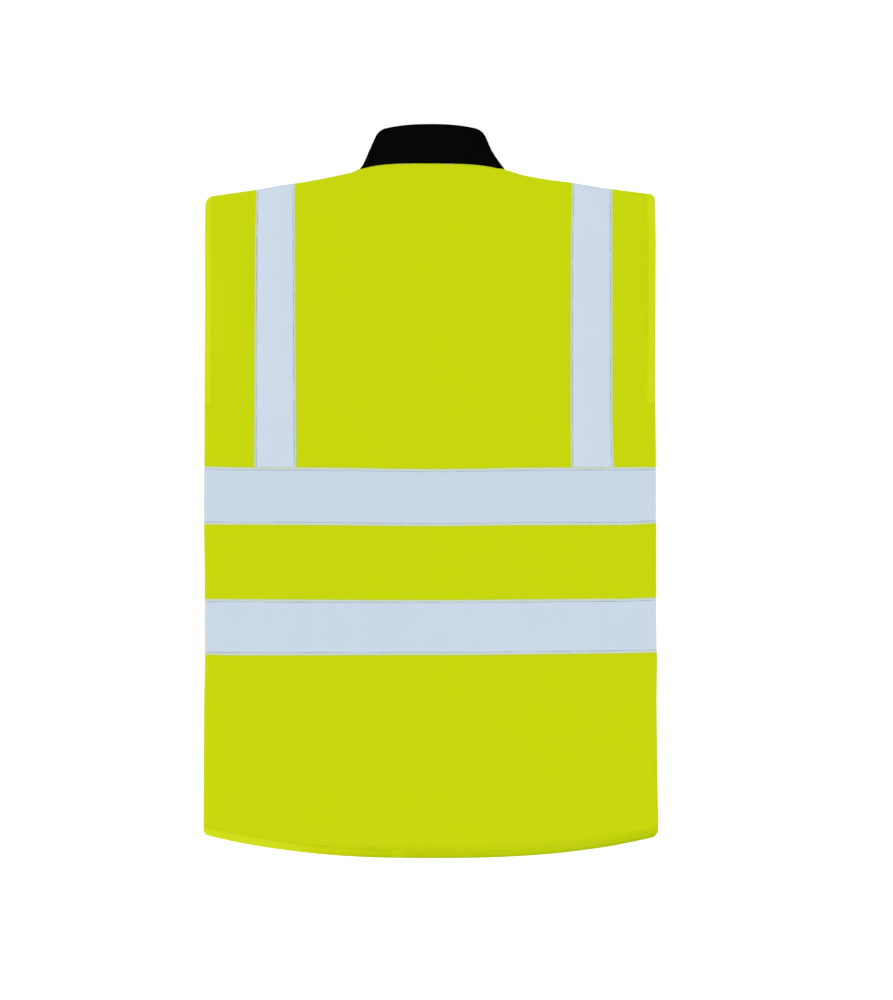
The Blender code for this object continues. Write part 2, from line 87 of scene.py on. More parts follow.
# How far the sides lie from the middle: height, left, right
SIDE_ROWS = (
    (-0.4150, 0.2726, 0.2732),
    (-0.3900, 0.2725, 0.2732),
    (-0.3450, 0.2724, 0.2722),
    (-0.2500, 0.2718, 0.2713),
    (-0.2050, 0.2708, 0.2719),
    (-0.1600, 0.2713, 0.2711),
    (-0.1080, 0.2711, 0.2708),
    (-0.0120, 0.2723, 0.2708),
    (0.0400, 0.2715, 0.2705),
    (0.1320, 0.2714, 0.2696),
    (0.2300, 0.2708, 0.2702),
    (0.3000, 0.2710, 0.2704),
    (0.3535, 0.2703, 0.2692),
)
SIDE_HEIGHTS, *SIDES = zip(*SIDE_ROWS)
TAIL_OUT = 0.0015  # the back's hem, folded, reaches this far past its solid
TAIL_RISES = (0.0290, 0.0270)  # of its curve, from the middle to the left and the right end
TAIL_BENDS = (2.50, 2.60)
TIP_RADII = (0.0095, 0.0060)
HEM_RADII = (0.0045, 0.0075)
SHOULDER_TOP_Y = 0.3860
SHOULDER_DROPS = (0.0332, 0.0304)
SHOULDER_BENDS = (0.723, 0.700)
# Small rises and dips of the shoulder seam: middle, half width and height
SHOULDER_BUMPS = (
    (-0.1840, 0.0220, 0.0008),
    (-0.0950, 0.0060, -0.0006),
    (0.0950, 0.0110, 0.0010),
    (0.1700, 0.0220, 0.0008),
)
NECK_TILT = -0.006  # slope of the neck seam from the left to the right
ARMHOLE_SCOOP = 0.0250  # how much deeper the fronts are cut at the armhole
NECK_POINT_Y = 0.3860
NAPE_BEND = 3.5
THROAT_BEND = 2.7
COLLAR_SIDE = (0.0834, 0.0624)  # half its width at the foot and at the top, on straight sides
COLLAR_FLARES = (0.0018, 0.0058)  # how much wider its foot is on the left and on the right
COLLAR_FLARE_ENDS = (0.15, 0.50)  # share of its height at which the foot stops flaring
COLLAR_CORNER = (0.16, 0.0042)  # share of its height, and what the rounded corner takes off
COLLAR_SHOULDER_Y = 0.4334
COLLAR_TOP_RISE = 0.0014  # from the fold's outermost point to the back's flat part, at the top
COLLAR_TOP_BEND = 2.45
COLLAR_FRONT_HEIGHT = 0.0500
COLLAR_WALL = 0.0030
COLLAR_BACK_Z = 0.0081
COLLAR_FRONT_Z = 0.0027
FOLD_RADIUS = (COLLAR_BACK_Z - COLLAR_FRONT_Z) / 2
NECK_RUN = NECK_HALF - FOLD_RADIUS - COLLAR_WALL / 2  # half the straight run of the neck seam
FRONT_SHARE = FRONT_EDGE / NECK_RUN
EDGE_ZONE = 0.0130  # columns and rows this close to an edge follow it rigidly
SHIFT_FREE_X = 0.2220  # the sides' shape moves no column inside this
# How far the back sinks where it reaches past the fronts, from where on, and over which length
HEM_DROOP = (0.0056, 0.0060, 0.0140)
ARMHOLE_DROOP = (0.0030, 0.0000, 0.0240)

# Edges of the two bands of tape, from the bottom one up: y in the middle, rises to the left and the
# right, the shares of the half width over which those set in, and further rises at the two ends
BAND_EDGES = (
    (-0.1972, (-0.0005, 0.0040), (0.40, 1.00), (0.0008, 0.0004)),
    (-0.1312, (0.0020, 0.0018), (1.00, 0.60), (0.0001, 0.0013)),
    (-0.0426, (0.0017, 0.0012), (0.45, 0.30), (0.0003, 0.0019)),
    (0.0259, (0.0020, 0.0021), (0.35, 0.38), (0.0011, 0.0003)),
)
BAND_END_X = 0.2300  # where those last rises start
# Edges of the two braces, from the left one on: height, and x of each edge
BRACE_ROWS = (
    (0.0280, -0.2114, -0.1609, 0.1686, 0.2200),
    (0.0850, -0.2113, -0.1611, 0.1680, 0.2182),
    (0.1900, -0.2108, -0.1619, 0.1680, 0.2182),
    (0.3000, -0.2105, -0.1624, 0.1682, 0.2181),
    (0.3500, -0.2095, -0.1626, 0.1695, 0.2181),
)
BRACE_HEIGHTS, *BRACE_EDGES = zip(*BRACE_ROWS)
# The same edges on the solids, even ones low and odd ones high
EDGE_ENDS = (lowest, highest)
BAND_LINES = [end(f"band_{level}_back").y for level in ("lower", "upper") for end in EDGE_ENDS]
BRACE_LINES = [end(f"brace_back_{side}").x for side in ("left", "right") for end in EDGE_ENDS]
BRACE_REACH = (0.1200, 0.2320)  # columns between these move with the braces' edges

# ---- padding, seams and creases ----

SEAM_LOFT = 0.0040  # what the outer face loses where two layers are sewn together
SEAM_ROLL = 0.0075  # width of that rounded edge
ROLL_BEND = 2.5  # of its section: 2 is a quarter of an ellipse, and more is fuller
SEAM_VALLEY = 0.0003  # how far the layers part at the seam
SEAM_TURN = 0.0045  # how far the outer cloth is turned in at the side and shoulder seams
SEAM_VALLEY_REACH = 0.0030
SQUEEZE = 0.0004  # what each face loses under a binding
SQUEEZE_START = 0.0070  # the padding thins from this far inside the binding
SQUEEZE_RUN = 0.0120
THINNEST = 0.0016  # no layer is pressed thinner than this
NECK_LOFT = 0.0019
NECK_ROLL = 0.0050
NECK_BLEND = 0.0100  # the neck seam becomes the shoulder seam over this length
FREE_BLEND = 0.0200  # and the side seam opens into the armhole
ZIP_LOFT = 0.0014
ZIP_ROLL = 0.0045
ZIP_STITCH = 0.0052  # from a front's edge to the stitching beside the zip
ARMHOLE_BINDINGS = (0.0086, 0.0104)  # widths of the strips, left and right
ARMHOLE_FALL = 0.0008  # what the outer face loses towards the bound edge
ARMHOLE_FALL_RUN = 0.0045
# The strip on the hem: x and width there
HEM_BINDING = (
    (-0.2722, 0.0085),
    (-0.2400, 0.0118),
    (-0.1800, 0.0106),
    (-0.1440, 0.0094),
    (-0.0900, 0.0100),
    (-0.0480, 0.0100),
    (-0.0300, 0.0120),
    (0.1500, 0.0130),
    (0.2400, 0.0130),
    (0.2722, 0.0100),
)
HEM_FALL = 0.0024
HEM_FALL_RUN = 0.0115
BINDING_WALL = 0.0003
BINDING_LIFT = 0.00006
BINDING_STITCH = 0.0014  # from the binding's inner edge to its stitching
BINDING_EDGE = 0.0022  # radius of the fold round the panel's edge
PANEL_INSET = 0.0030  # a panel ends this far inside its binding
PUFF = 0.0005  # how far even padding stands above its sewn lines
PUFF_REACH = 0.0160
BASE = 0.0006  # sewn lines lie this far below the solid's face
GROOVE = 0.00030  # along the stitching of tape
BINDING_GROOVE = 0.00005
GROOVE_WIDTH = 0.0011
NEEDLE_DIP = 0.36  # share of a groove by which it is deeper at the needle holes
PUCKER = 0.00022  # height of the small folds beside a sewn line
PUCKER_REACH = 0.0085
PUCKER_LENGTH = 0.0120
PUCKER_START = 0.0025  # distance from the line over which they set in
SWELL = 0.00035  # height of the padding's soft waves
SWELL_LENGTH = 0.1300
TAPE = 0.0005
TAPE_RIM = 0.0021  # width of its edges outside the stitching, which look greener
TAPE_LIFT = 0.0001
BAND_STITCH = 0.0032  # from the tape's edge to its stitching
BRACE_STITCH = 0.0024
STITCH = 0.0034  # length of one stitch
TUCK = 0.0006  # a panel gives way this far beneath its tape
TUCK_INSET = 0.0006  # from this far inside the tape's edge

LATTICE = 0.0062  # step of the simulated cloth
START_SWELL = (3, 0.05)  # seed and length of the waves that it starts with
LATTICE_START = 0.0003  # and their height
HELD_SHARE = 0.55  # of a step: cloth this close to a sewn line is held by it
SIMULATED_FRAMES = 20
CLOTH = {  # its settings
    "quality": 4,
    "mass": 0.1,
    "tension_stiffness": 10,
    "compression_stiffness": 10,
    "bending_stiffness": 0.2,
    "shrink_min": -0.02,
    "vertex_group_mass": "sewn",
    "use_pressure": True,
    "uniform_pressure_force": 4.0,
}
LIFT_SHARE = 0.12  # of the simulated lift, which is kept low as on thin, firm padding
LIFT_CAP = 0.0009  # and how far a point may rise
LIFT_RUN = 0.0350  # from a binding inwards, over which the lift sets in
CUSHIONS = {"back": [], "front": []}  # filled by the simulation

# Creases: start, end, width, depth (a ridge has a negative depth)
BACK_CREASES = (
    ((0.2610, 0.1740), (0.2622, 0.2220), 0.0016, 0.0009),
    ((0.2600, 0.1560), (0.2605, 0.1780), 0.0030, -0.0003),
    ((-0.1480, -0.4257), (-0.1160, -0.4271), 0.0013, 0.0013),
    ((-0.0920, -0.4289), (-0.0420, -0.4316), 0.0017, 0.0017),
    ((0.1180, -0.4230), (0.1560, -0.4180), 0.0018, 0.0003),
    ((-0.1480, 0.3350), (-0.0900, 0.2500), 0.0110, 0.0003),
    ((0.0950, 0.3500), (0.1500, 0.2700), 0.0130, 0.0003),
    ((-0.2450, 0.1150), (-0.2000, 0.0800), 0.0090, 0.0003),
    ((0.2480, 0.1000), (0.2320, 0.0550), 0.0080, 0.0003),
    ((-0.2550, -0.0850), (-0.1900, -0.0950), 0.0080, 0.0003),
    ((0.2600, -0.0700), (0.2000, -0.0850), 0.0090, 0.0002),
    ((-0.1900, -0.2700), (-0.0600, -0.2950), 0.0160, 0.0003),
    ((0.0700, -0.3300), (0.1900, -0.3050), 0.0180, 0.0003),
    ((0.0100, 0.1400), (0.0500, 0.2400), 0.0200, 0.0002),
)
FRONT_CREASES = (
    ((-0.2350, 0.1500), (-0.1500, 0.1250), 0.0090, 0.0004),
    ((0.2300, 0.1700), (0.1600, 0.1400), 0.0100, 0.0004),
    ((-0.0300, 0.2900), (-0.0900, 0.2200), 0.0100, 0.0003),
    ((0.0300, 0.2800), (0.0800, 0.1900), 0.0110, 0.0003),
    ((-0.2300, -0.3300), (-0.1300, -0.3500), 0.0120, 0.0003),
    ((0.1300, -0.2700), (0.2300, -0.2900), 0.0100, 0.0004),
    ((-0.0200, -0.3800), (-0.0280, -0.3000), 0.0080, 0.0003),
    ((0.0220, -0.1200), (0.0300, -0.0600), 0.0060, 0.0003),
)
CREASES = {"back": BACK_CREASES, "front": FRONT_CREASES}
LAYERS_THICK = {"back": BACK_UPPER_Z - BACK_LOWER_Z, "front": PAD}
# Panels: layer, what a piece's name ends with, and the sides of the middle that it covers
PANELS = (("back", "", (-1, 1)), ("front", "_left", (-1,)), ("front", "_right", (1,)))

# ---- mesh stations ----

PANEL_STEP = 0.0040
# Distances of the stations from an edge: on its roll, on to where the panel lies even, from a
# bound edge, and from an edge of tape
ROLL_DISTANCES = (0, 0.00015, 0.0005, 0.001, 0.0017, 0.0026, 0.0037, 0.005, 0.0065)
SEWN_DISTANCES = (*ROLL_DISTANCES, 0.0082, 0.0100, 0.0120, 0.0145, 0.0175, 0.0210)
BOUND_DISTANCES = (0.003, 0.0045, 0.006, 0.0075, 0.009, 0.0105, 0.012, 0.0135, 0.0155, 0.018, 0.021)
TAPE_DISTANCES = (0, 0.0002, 0.0008, 0.0014, 0.0019, 0.0024, 0.0028, 0.0032, 0.0037, 0.0045, 0.0060)
TAPE_DISTANCES += (0.0085,)
BESIDE_TAPE = (-0.0045, -0.0018, -0.0004, 0.0004, 0.0018, 0.0045)  # on both sides of such an edge
ZONE = SEWN_DISTANCES[-1]

# ---- small helpers ----


def clamp(value):
    return np.clip(value, 0.0, 1.0)


def ease(value):
    share = clamp(value)
    return share * share * (3 - 2 * share)


def share_of(value, start, end):
    """How far a value lies on the way from start to end, between 0 and 1."""
    return clamp((value - start) / (end - start))


def roll_share(distance, reach, bend=2.0):
    """1 at an edge and 0 from reach inwards, on a quarter of an ellipse or a fuller curve."""
    inside = clamp(1 - distance / reach)
    return 1 - (1 - inside**bend) ** (1 / bend)


def by_side(x, pair):
    return np.where(x < 0, pair[0], pair[1])


def points_at(x, y, z):
    return np.stack(np.broadcast_arrays(x, y, z), axis=-1)


def all_of(shares):
    """The share that several losses make together, without counting any twice."""
    kept = 1.0
    for share in shares:
        kept = kept * (1 - share)
    return 1 - kept


def hat(values, stations, index):
    """1 at one of the stations and 0 at its neighbours and beyond."""
    heights = np.zeros(len(stations))
    heights[index] = 1.0
    return np.interp(values, stations, heights)


def from_ends(low, high, steps):
    return [low + step for step in steps] + [high - step for step in steps]


def span(sides, margin=0.0):
    """Where a panel starts and ends across, at a side seam or beside the zip."""
    low = -HALF_HEM if -1 in sides else FRONT_EDGE
    high = HALF_HEM if 1 in sides else -FRONT_EDGE
    return low + margin, high - margin


def filled(fixed, step):
    """The fixed stations in order, and even ones where they lie further apart than step."""
    fixed = sorted(set(fixed))
    stations = []
    for low, high in zip(fixed, fixed[1:]):
        count = max(1, math.ceil((high - low) / step - 0.01))
        stations += [low + (high - low) * part / count for part in range(count)]
    return np.array(stations + [fixed[-1]])


def on_stitches(low, high, step=STITCH, clear=0.3):
    """Needle holes at both ends, and on the whole steps that lie clear of them, in steps."""
    first = math.ceil(low / step + clear)
    last = math.floor(high / step - clear)
    return np.array([low, *step * np.arange(first, last + 1), high])


def ripples(along, seed, length):
    """Uneven small waves along a seam, between about -1 and 1."""
    waves = [
        np.sin(2 * np.pi * along / (length * stretch) + 2.4 * seed + 1.7 * part)
        for part, stretch in enumerate((1.0, 1.37, 0.61, 2.3, 3.1))
    ]
    return sum(waves) / 2.8


def swell(x, y, seed, length):
    """Soft uneven waves in all directions, between about -1 and 1."""
    total = 0.0
    for part in range(7):
        angle = seed + 2.4 * part
        wave = length * (0.7 + 0.1 * ((5 * part + 3 * seed) % 7))
        along = x * math.cos(angle) + y * math.sin(angle)
        total = total + np.sin(2 * np.pi * along / wave + 1.3 * seed * part)
    return total / 3.2


def add_object(name, data):
    thing = bpy.data.objects.new(name, data)
    bpy.context.scene.collection.objects.link(thing)
    return thing


# ---- outline of the two layers ----


def side_edge(layer, x, y):
    """How far from the middle the sides of a layer lie at this height."""
    width = by_side(x, [np.interp(y, SIDE_HEIGHTS, side) for side in SIDES])
    if layer == "front":
        width = width - ARMHOLE_SCOOP * np.sin(np.pi * share_of(y, UNDERARM_Y, TIP_Y))
    return width


def corner_turn(x, from_side, radii):
    """How far a rounded corner cuts into the top or the hem."""
    radius = by_side(x, radii)
    return radius * roll_share(from_side, radius)


def hem_edge(layer, x, from_side):
    turn = corner_turn(x, from_side, HEM_RADII)
    if layer == "front":
        return HEM_SIDE_Y + turn
    rise = by_side(x, TAIL_RISES) * (np.abs(x) / HALF_HEM) ** by_side(x, TAIL_BENDS)
    return TAIL_Y - TAIL_OUT + rise + turn


def top_edge(layer, x, from_side):
    middle_y, bend = (NAPE_Y, NAPE_BEND) if layer == "back" else (THROAT_Y, THROAT_BEND)
    share = clamp(np.abs(x) / NECK_RUN)
    slope = (NECK_POINT_Y - middle_y) * bend * share ** (bend - 1) / NECK_RUN
    neck = middle_y + (NECK_POINT_Y - middle_y) * share**bend - NECK_GAP * np.hypot(1, slope)
    neck = neck + NECK_TILT * x * (1 - share**2)
    run = share_of(np.abs(x), NECK_HALF, HALF_TIP)
    shoulder = SHOULDER_TOP_Y - by_side(x, SHOULDER_DROPS) * run ** by_side(x, SHOULDER_BENDS)
    for middle, reach, rise in SHOULDER_BUMPS:
        shoulder = shoulder + rise * np.exp(-(((x - middle) / reach) ** 2))
    shoulder = shoulder - corner_turn(x, from_side, TIP_RADII)
    return np.where(np.abs(x) <= NECK_RUN, neck, shoulder)


def hem_width(x):
    return np.interp(x, *zip(*HEM_BINDING))


def band_edge_y(number, x):
    middle, rises, reaches, end_rises = BAND_EDGES[number]
    share = np.abs(x) / HALF_HEM / by_side(x, reaches)
    at_end = ease(share_of(np.abs(x), BAND_END_X, HALF_HEM))
    return middle + by_side(x, rises) * (1 - np.exp(-(share**2))) + by_side(x, end_rises) * at_end


def brace_edge_x(number, y):
    return np.interp(y, BRACE_HEIGHTS, BRACE_EDGES[number])


HEM_ZONE_Y = TAIL_Y + 2 * EDGE_ZONE
ROW_STATIONS = [HEM_ZONE_Y, *BAND_LINES, UNDERARM_Y]
NEAR, FAR = BRACE_REACH
COLUMN_STATIONS = [-FAR, *BRACE_LINES[:2], -NEAR, NEAR, *BRACE_LINES[2:], FAR]
COLUMN_PLACES = (1, 2, 5, 6)  # of the brace edges in that list
SHIFT_FREE_HEM_Y = BAND_LINES[0] - 2 * SEAM_GAP
SHIFT_FREE_TOP_Y = BAND_LINES[3] + 2 * SEAM_GAP


def place(layer, column, row):
    """The point of a layer that a nominal column and row stand for.

    Columns near the sides move with the side edge, rows near the hem or the top with those, and
    the rows and columns of the tape's edges with the tape.
    """
    hem_share = share_of(row, SHIFT_FREE_HEM_Y, HEM_ZONE_Y)
    top_share = share_of(row, SHIFT_FREE_TOP_Y, NAPE_Y - EDGE_ZONE)
    inside = HALF_HEM - np.abs(column)
    y = row + (hem_edge(layer, column, inside) - TAIL_Y) * hem_share
    y = y + (top_edge(layer, column, inside) - NAPE_Y) * top_share
    for number, line in enumerate(BAND_LINES):
        shift = band_edge_y(number, column) - line
        y = y + shift * hat(row, ROW_STATIONS, number + 1)
    side_share = share_of(np.abs(column), SHIFT_FREE_X, HALF_HEM - EDGE_ZONE)
    x = np.abs(column) + (side_edge(layer, column, y) - HALF_HEM) * side_share
    x = np.sign(column) * x
    for number, index in enumerate(COLUMN_PLACES):
        shift = brace_edge_x(number, y) - COLUMN_STATIONS[index]
        x = x + shift * hat(column, COLUMN_STATIONS, index)
    return x, y


# ---- heights of the faces ----


def edge_distances(layer, x, y):
    from_side = side_edge(layer, x, y) - np.abs(x)
    return from_side, top_edge(layer, x, from_side) - y, y - hem_edge(layer, x, from_side)


def losses(layer, x, y):
    """What the outward and the inner face lose at the edges."""
    from_side, from_top, from_hem = edge_distances(layer, x, y)
    free = ease((y - UNDERARM_Y) / FREE_BLEND)
    at_neck = 1 - ease((np.abs(x) - NECK_RUN) / NECK_BLEND)
    armhole = ease((by_side(x, ARMHOLE_BINDINGS) + SQUEEZE_START - from_side) / SQUEEZE_RUN) * free
    hem = ease((hem_width(x) + SQUEEZE_START - from_hem) / SQUEEZE_RUN)
    neck = roll_share(from_top, NECK_ROLL) * at_neck
    pressed = [armhole * SQUEEZE, hem * SQUEEZE, neck * NECK_LOFT]
    if layer == "front":
        pressed.append(roll_share(np.abs(x) - FRONT_EDGE, ZIP_ROLL) * ZIP_LOFT)
    rolled = [
        roll_share(from_side, ARMHOLE_FALL_RUN) * free * ARMHOLE_FALL,
        roll_share(from_hem, HEM_FALL_RUN) * HEM_FALL,
        roll_share(from_side, SEAM_ROLL, ROLL_BEND) * (1 - free) * SEAM_LOFT,
        roll_share(from_top, SEAM_ROLL, ROLL_BEND) * (1 - at_neck) * SEAM_LOFT,
    ]
    valley = clamp(1 - from_side / SEAM_VALLEY_REACH) ** 2 * (1 - free)
    valley = np.maximum(valley, clamp(1 - from_top / SEAM_VALLEY_REACH) ** 2 * (1 - at_neck))
    inner, outer = [
        SEAM_LOFT * all_of(loss / SEAM_LOFT for loss in lost)
        for lost in (pressed, pressed + rolled)
    ]
    return outer, inner + SEAM_VALLEY * valley


def inwards(number, distance):
    """A distance from an edge of tape inwards; even edges are low ones."""
    return -distance if number % 2 else distance


def sewn_lines(layer, x, y):
    """Each line that holds the outward face down: (distance, place along it, stitched groove)."""
    from_side, from_top, from_hem = edge_distances(layer, x, y)
    from_armhole = from_side - by_side(x, ARMHOLE_BINDINGS) + BINDING_STITCH
    lines = [
        (np.hypot(from_armhole, clamp(UNDERARM_Y - y)), y, BINDING_GROOVE),
        (np.abs(from_hem - hem_width(x) + BINDING_STITCH), x, BINDING_GROOVE),
        (np.hypot(from_side, clamp(y - UNDERARM_Y)), y, 0.0),
        (np.abs(from_top), x, 0.0),
    ]
    for number in range(4):
        across = y - band_edge_y(number, x) - inwards(number, BAND_STITCH)
        lines.append((np.abs(across), x, GROOVE))
    below_band = clamp(band_edge_y(3, x) - y)
    for number in range(4):
        across = x - brace_edge_x(number, y) - inwards(number, BRACE_STITCH)
        lines.append((np.hypot(across, below_band), y, GROOVE))
    if layer == "front":
        lines.append((np.abs(np.abs(x) - FRONT_EDGE - ZIP_STITCH), y, GROOVE))
    return lines


def crease(x, y, start, end, width, depth):
    run = np.subtract(end, start)
    share = clamp(((x - start[0]) * run[0] + (y - start[1]) * run[1]) / (run @ run))
    distance = np.hypot(x - start[0] - share * run[0], y - start[1] - share * run[1])
    return depth * np.exp(-((distance / width) ** 2)) * (0.2 + 0.8 * np.sin(np.pi * share))


def relief(layer, x, y, stitched):
    """How far the outward face stands above or below the solid's face."""
    seed = 1 if layer == "back" else 2
    open_share, puckers, grooves = 1.0, 0.0, 0.0
    for number, (distance, along, groove) in enumerate(sewn_lines(layer, x, y)):
        held = np.exp(-distance / PUFF_REACH)
        open_share = open_share * (1 - held)
        wave = ripples(along + 0.3 * distance, seed + 3 * number, PUCKER_LENGTH)
        strength = np.exp(-distance / PUCKER_REACH) * (1 - np.exp(-distance / PUCKER_START))
        strength = strength * (0.55 + 0.45 * ripples(along, number, 7 * PUCKER_LENGTH))
        puckers = puckers + wave * strength
        if groove:
            dip = groove * (1 + NEEDLE_DIP * np.cos(2 * np.pi * along / STITCH))
            grooves = np.maximum(grooves, dip * np.exp(-((distance / GROOVE_WIDTH) ** 2)))
    rise = PUFF * open_share - BASE + PUCKER * puckers
    rise = rise + SWELL * swell(x, y, seed, SWELL_LENGTH) * open_share
    for cushion in CUSHIONS[layer]:
        rise = rise + read_lattice(*cushion, x, y)
    if stitched:
        rise = rise - grooves
    for bent in CREASES[layer]:
        rise = rise - crease(x, y, *bent)
    return rise


def read_lattice(heights, low_x, low_y, x, y):
    """Height at a place between a lattice's points, on a cubic spline."""
    total = 0.0
    for row_part, row_weight in spline_weights((y - low_y) / LATTICE, heights.shape[0]):
        for part, weight in spline_weights((x - low_x) / LATTICE, heights.shape[1]):
            total = total + heights[row_part, part] * row_weight * weight
    return total


def spline_weights(place_on_axis, count):
    whole = np.floor(place_on_axis).astype(int)
    share = place_on_axis - whole
    weights = (
        (1 - share) ** 3 / 6,
        (3 * share**3 - 6 * share**2 + 4) / 6,
        (3 * share**2 - 3 * share**3 + 3 * share + 1) / 6,
        share**3 / 6,
    )
    return [(np.clip(whole + step - 1, 0, count - 1), weights[step]) for step in range(4)]


def simulate_padding(layer, sides):
    """The outer cloth of a panel, sewn down along its lines and lifted by the padding."""
    low_x = -HALF_HEM if -1 in sides else 0.0
    high_x = HALF_HEM if 1 in sides else 0.0
    x, y = np.meshgrid(np.arange(low_x, high_x, LATTICE), np.arange(TAIL_Y, NAPE_Y, LATTICE))
    inside = np.min(edge_distances(layer, x, y), axis=0) > 0
    if layer == "front":
        inside &= np.abs(x) > FRONT_EDGE
    index = np.full(x.shape, -1)
    index[inside] = np.arange(inside.sum())
    faces = index.ravel()[grid_faces(*x.shape)]
    faces = faces[(faces >= 0).all(axis=1)]
    points = points_at(x, y, LATTICE_START * swell(x, y, *START_SWELL))[inside]
    distances = [line[0] for line in sewn_lines(layer, x, y)]
    from_binding = np.minimum(*distances[:2])
    nearest = np.min(distances, axis=0)[inside]
    uses = np.bincount(faces.ravel(), minlength=len(points))
    held = np.flatnonzero((nearest < HELD_SHARE * LATTICE) | (uses < 4))
    mesh = bpy.data.meshes.new("padding")
    mesh.from_pydata(points.tolist(), [], faces.tolist())
    piece = add_object("padding", mesh)
    piece.vertex_groups.new(name="sewn").add(held.tolist(), 1.0, "REPLACE")
    modifier = piece.modifiers.new("Cloth", "CLOTH")
    for name, value in CLOTH.items():
        setattr(modifier.settings, name, value)
    modifier.settings.effector_weights.gravity = 0
    modifier.collision_settings.use_collision = False
    for number in range(1, SIMULATED_FRAMES + 1):
        bpy.context.scene.frame_set(number)
    settled = piece.evaluated_get(bpy.context.evaluated_depsgraph_get()).data
    places = np.empty(3 * len(points))
    settled.vertices.foreach_get("co", places)
    bpy.context.scene.frame_set(1)
    bpy.data.objects.remove(piece)
    heights = np.zeros_like(x)
    heights[inside] = LIFT_CAP * np.tanh(LIFT_SHARE * places[2::3] / LIFT_CAP)
    return heights * ease(from_binding / LIFT_RUN), low_x, TAIL_Y


def droop(x, y):
    """How far the back sinks towards the table where no front lies beneath it."""
    past_hem = HEM_SIDE_Y - y
    past_armhole = np.where(y > UNDERARM_Y, np.abs(x) - side_edge("front", x, y), 0.0)
    sunk = [
        depth * ease((past - start) / reach)
        for past, (depth, start, reach) in ((past_hem, HEM_DROOP), (past_armhole, ARMHOLE_DROOP))
    ]
    return np.maximum(*sunk)


def outward(layer, x, y, proud=0.0, stitched=False):
    """Height of a point that stands proud of a layer's outward face."""
    lost, lost_inside = losses(layer, x, y)
    rise = relief(layer, x, y, stitched) - lost
    rise = np.maximum(rise, THINNEST + lost_inside - LAYERS_THICK[layer]) + proud
    if layer == "back":
        return BACK_UPPER_Z + rise - droop(x, y)
    return np.maximum(-rise, 0.0)


def inward(layer, x, y, proud=0.0):
    """Height of a point that stands proud of a layer's inner, reverse face."""
    lost = losses(layer, x, y)[1]
    if layer == "back":
        return BACK_LOWER_Z + lost - proud - droop(x, y)
    return PAD - lost + proud


# ---- materials ----

WAVE_PERIOD = 2 * math.pi / 20  # of a wave texture at scale 1, in metres
MIX_INPUTS = (0, 6, 7)  # a colour mix node's sockets for the factor and the two colours
MIX_RESULT = 2
WHITE = (1, 1, 1)
# Scales of the noise: patches, fibres and crumples of cloth, patches and crumples of tape, and
# fibres and patches of thread
CLOTH_NOISE = (9.0, 320.0, 140.0)
TAPE_NOISE = (14.0, 90.0)
THREAD_NOISE = (330.0, 42.0)
BEADS = 3200.0  # scale of the tape's glass beads
BACKING = 0.0011  # pitch of the weave behind them
PLY = 0.0005  # pitch of a thread's plies


class Field:
    """A value or colour that varies over a surface, as the socket of a look's node."""

    def __init__(self, look, socket):
        self.look, self.socket = look, socket

    def calc(self, operation, other=0.0):
        return self.look.add("Math", 0, {0: self, 1: other}, operation=operation)

    def __add__(self, other):
        return self.calc("ADD", other)

    def __sub__(self, other):
        return self.calc("SUBTRACT", other)

    def __mul__(self, other):
        return self.calc("MULTIPLY", other)

    def __abs__(self):
        return self.calc("ABSOLUTE")

    def share(self, start, end):
        """0 where the value is start and 1 where it is end."""
        return (self - start) * (1 / (end - start))


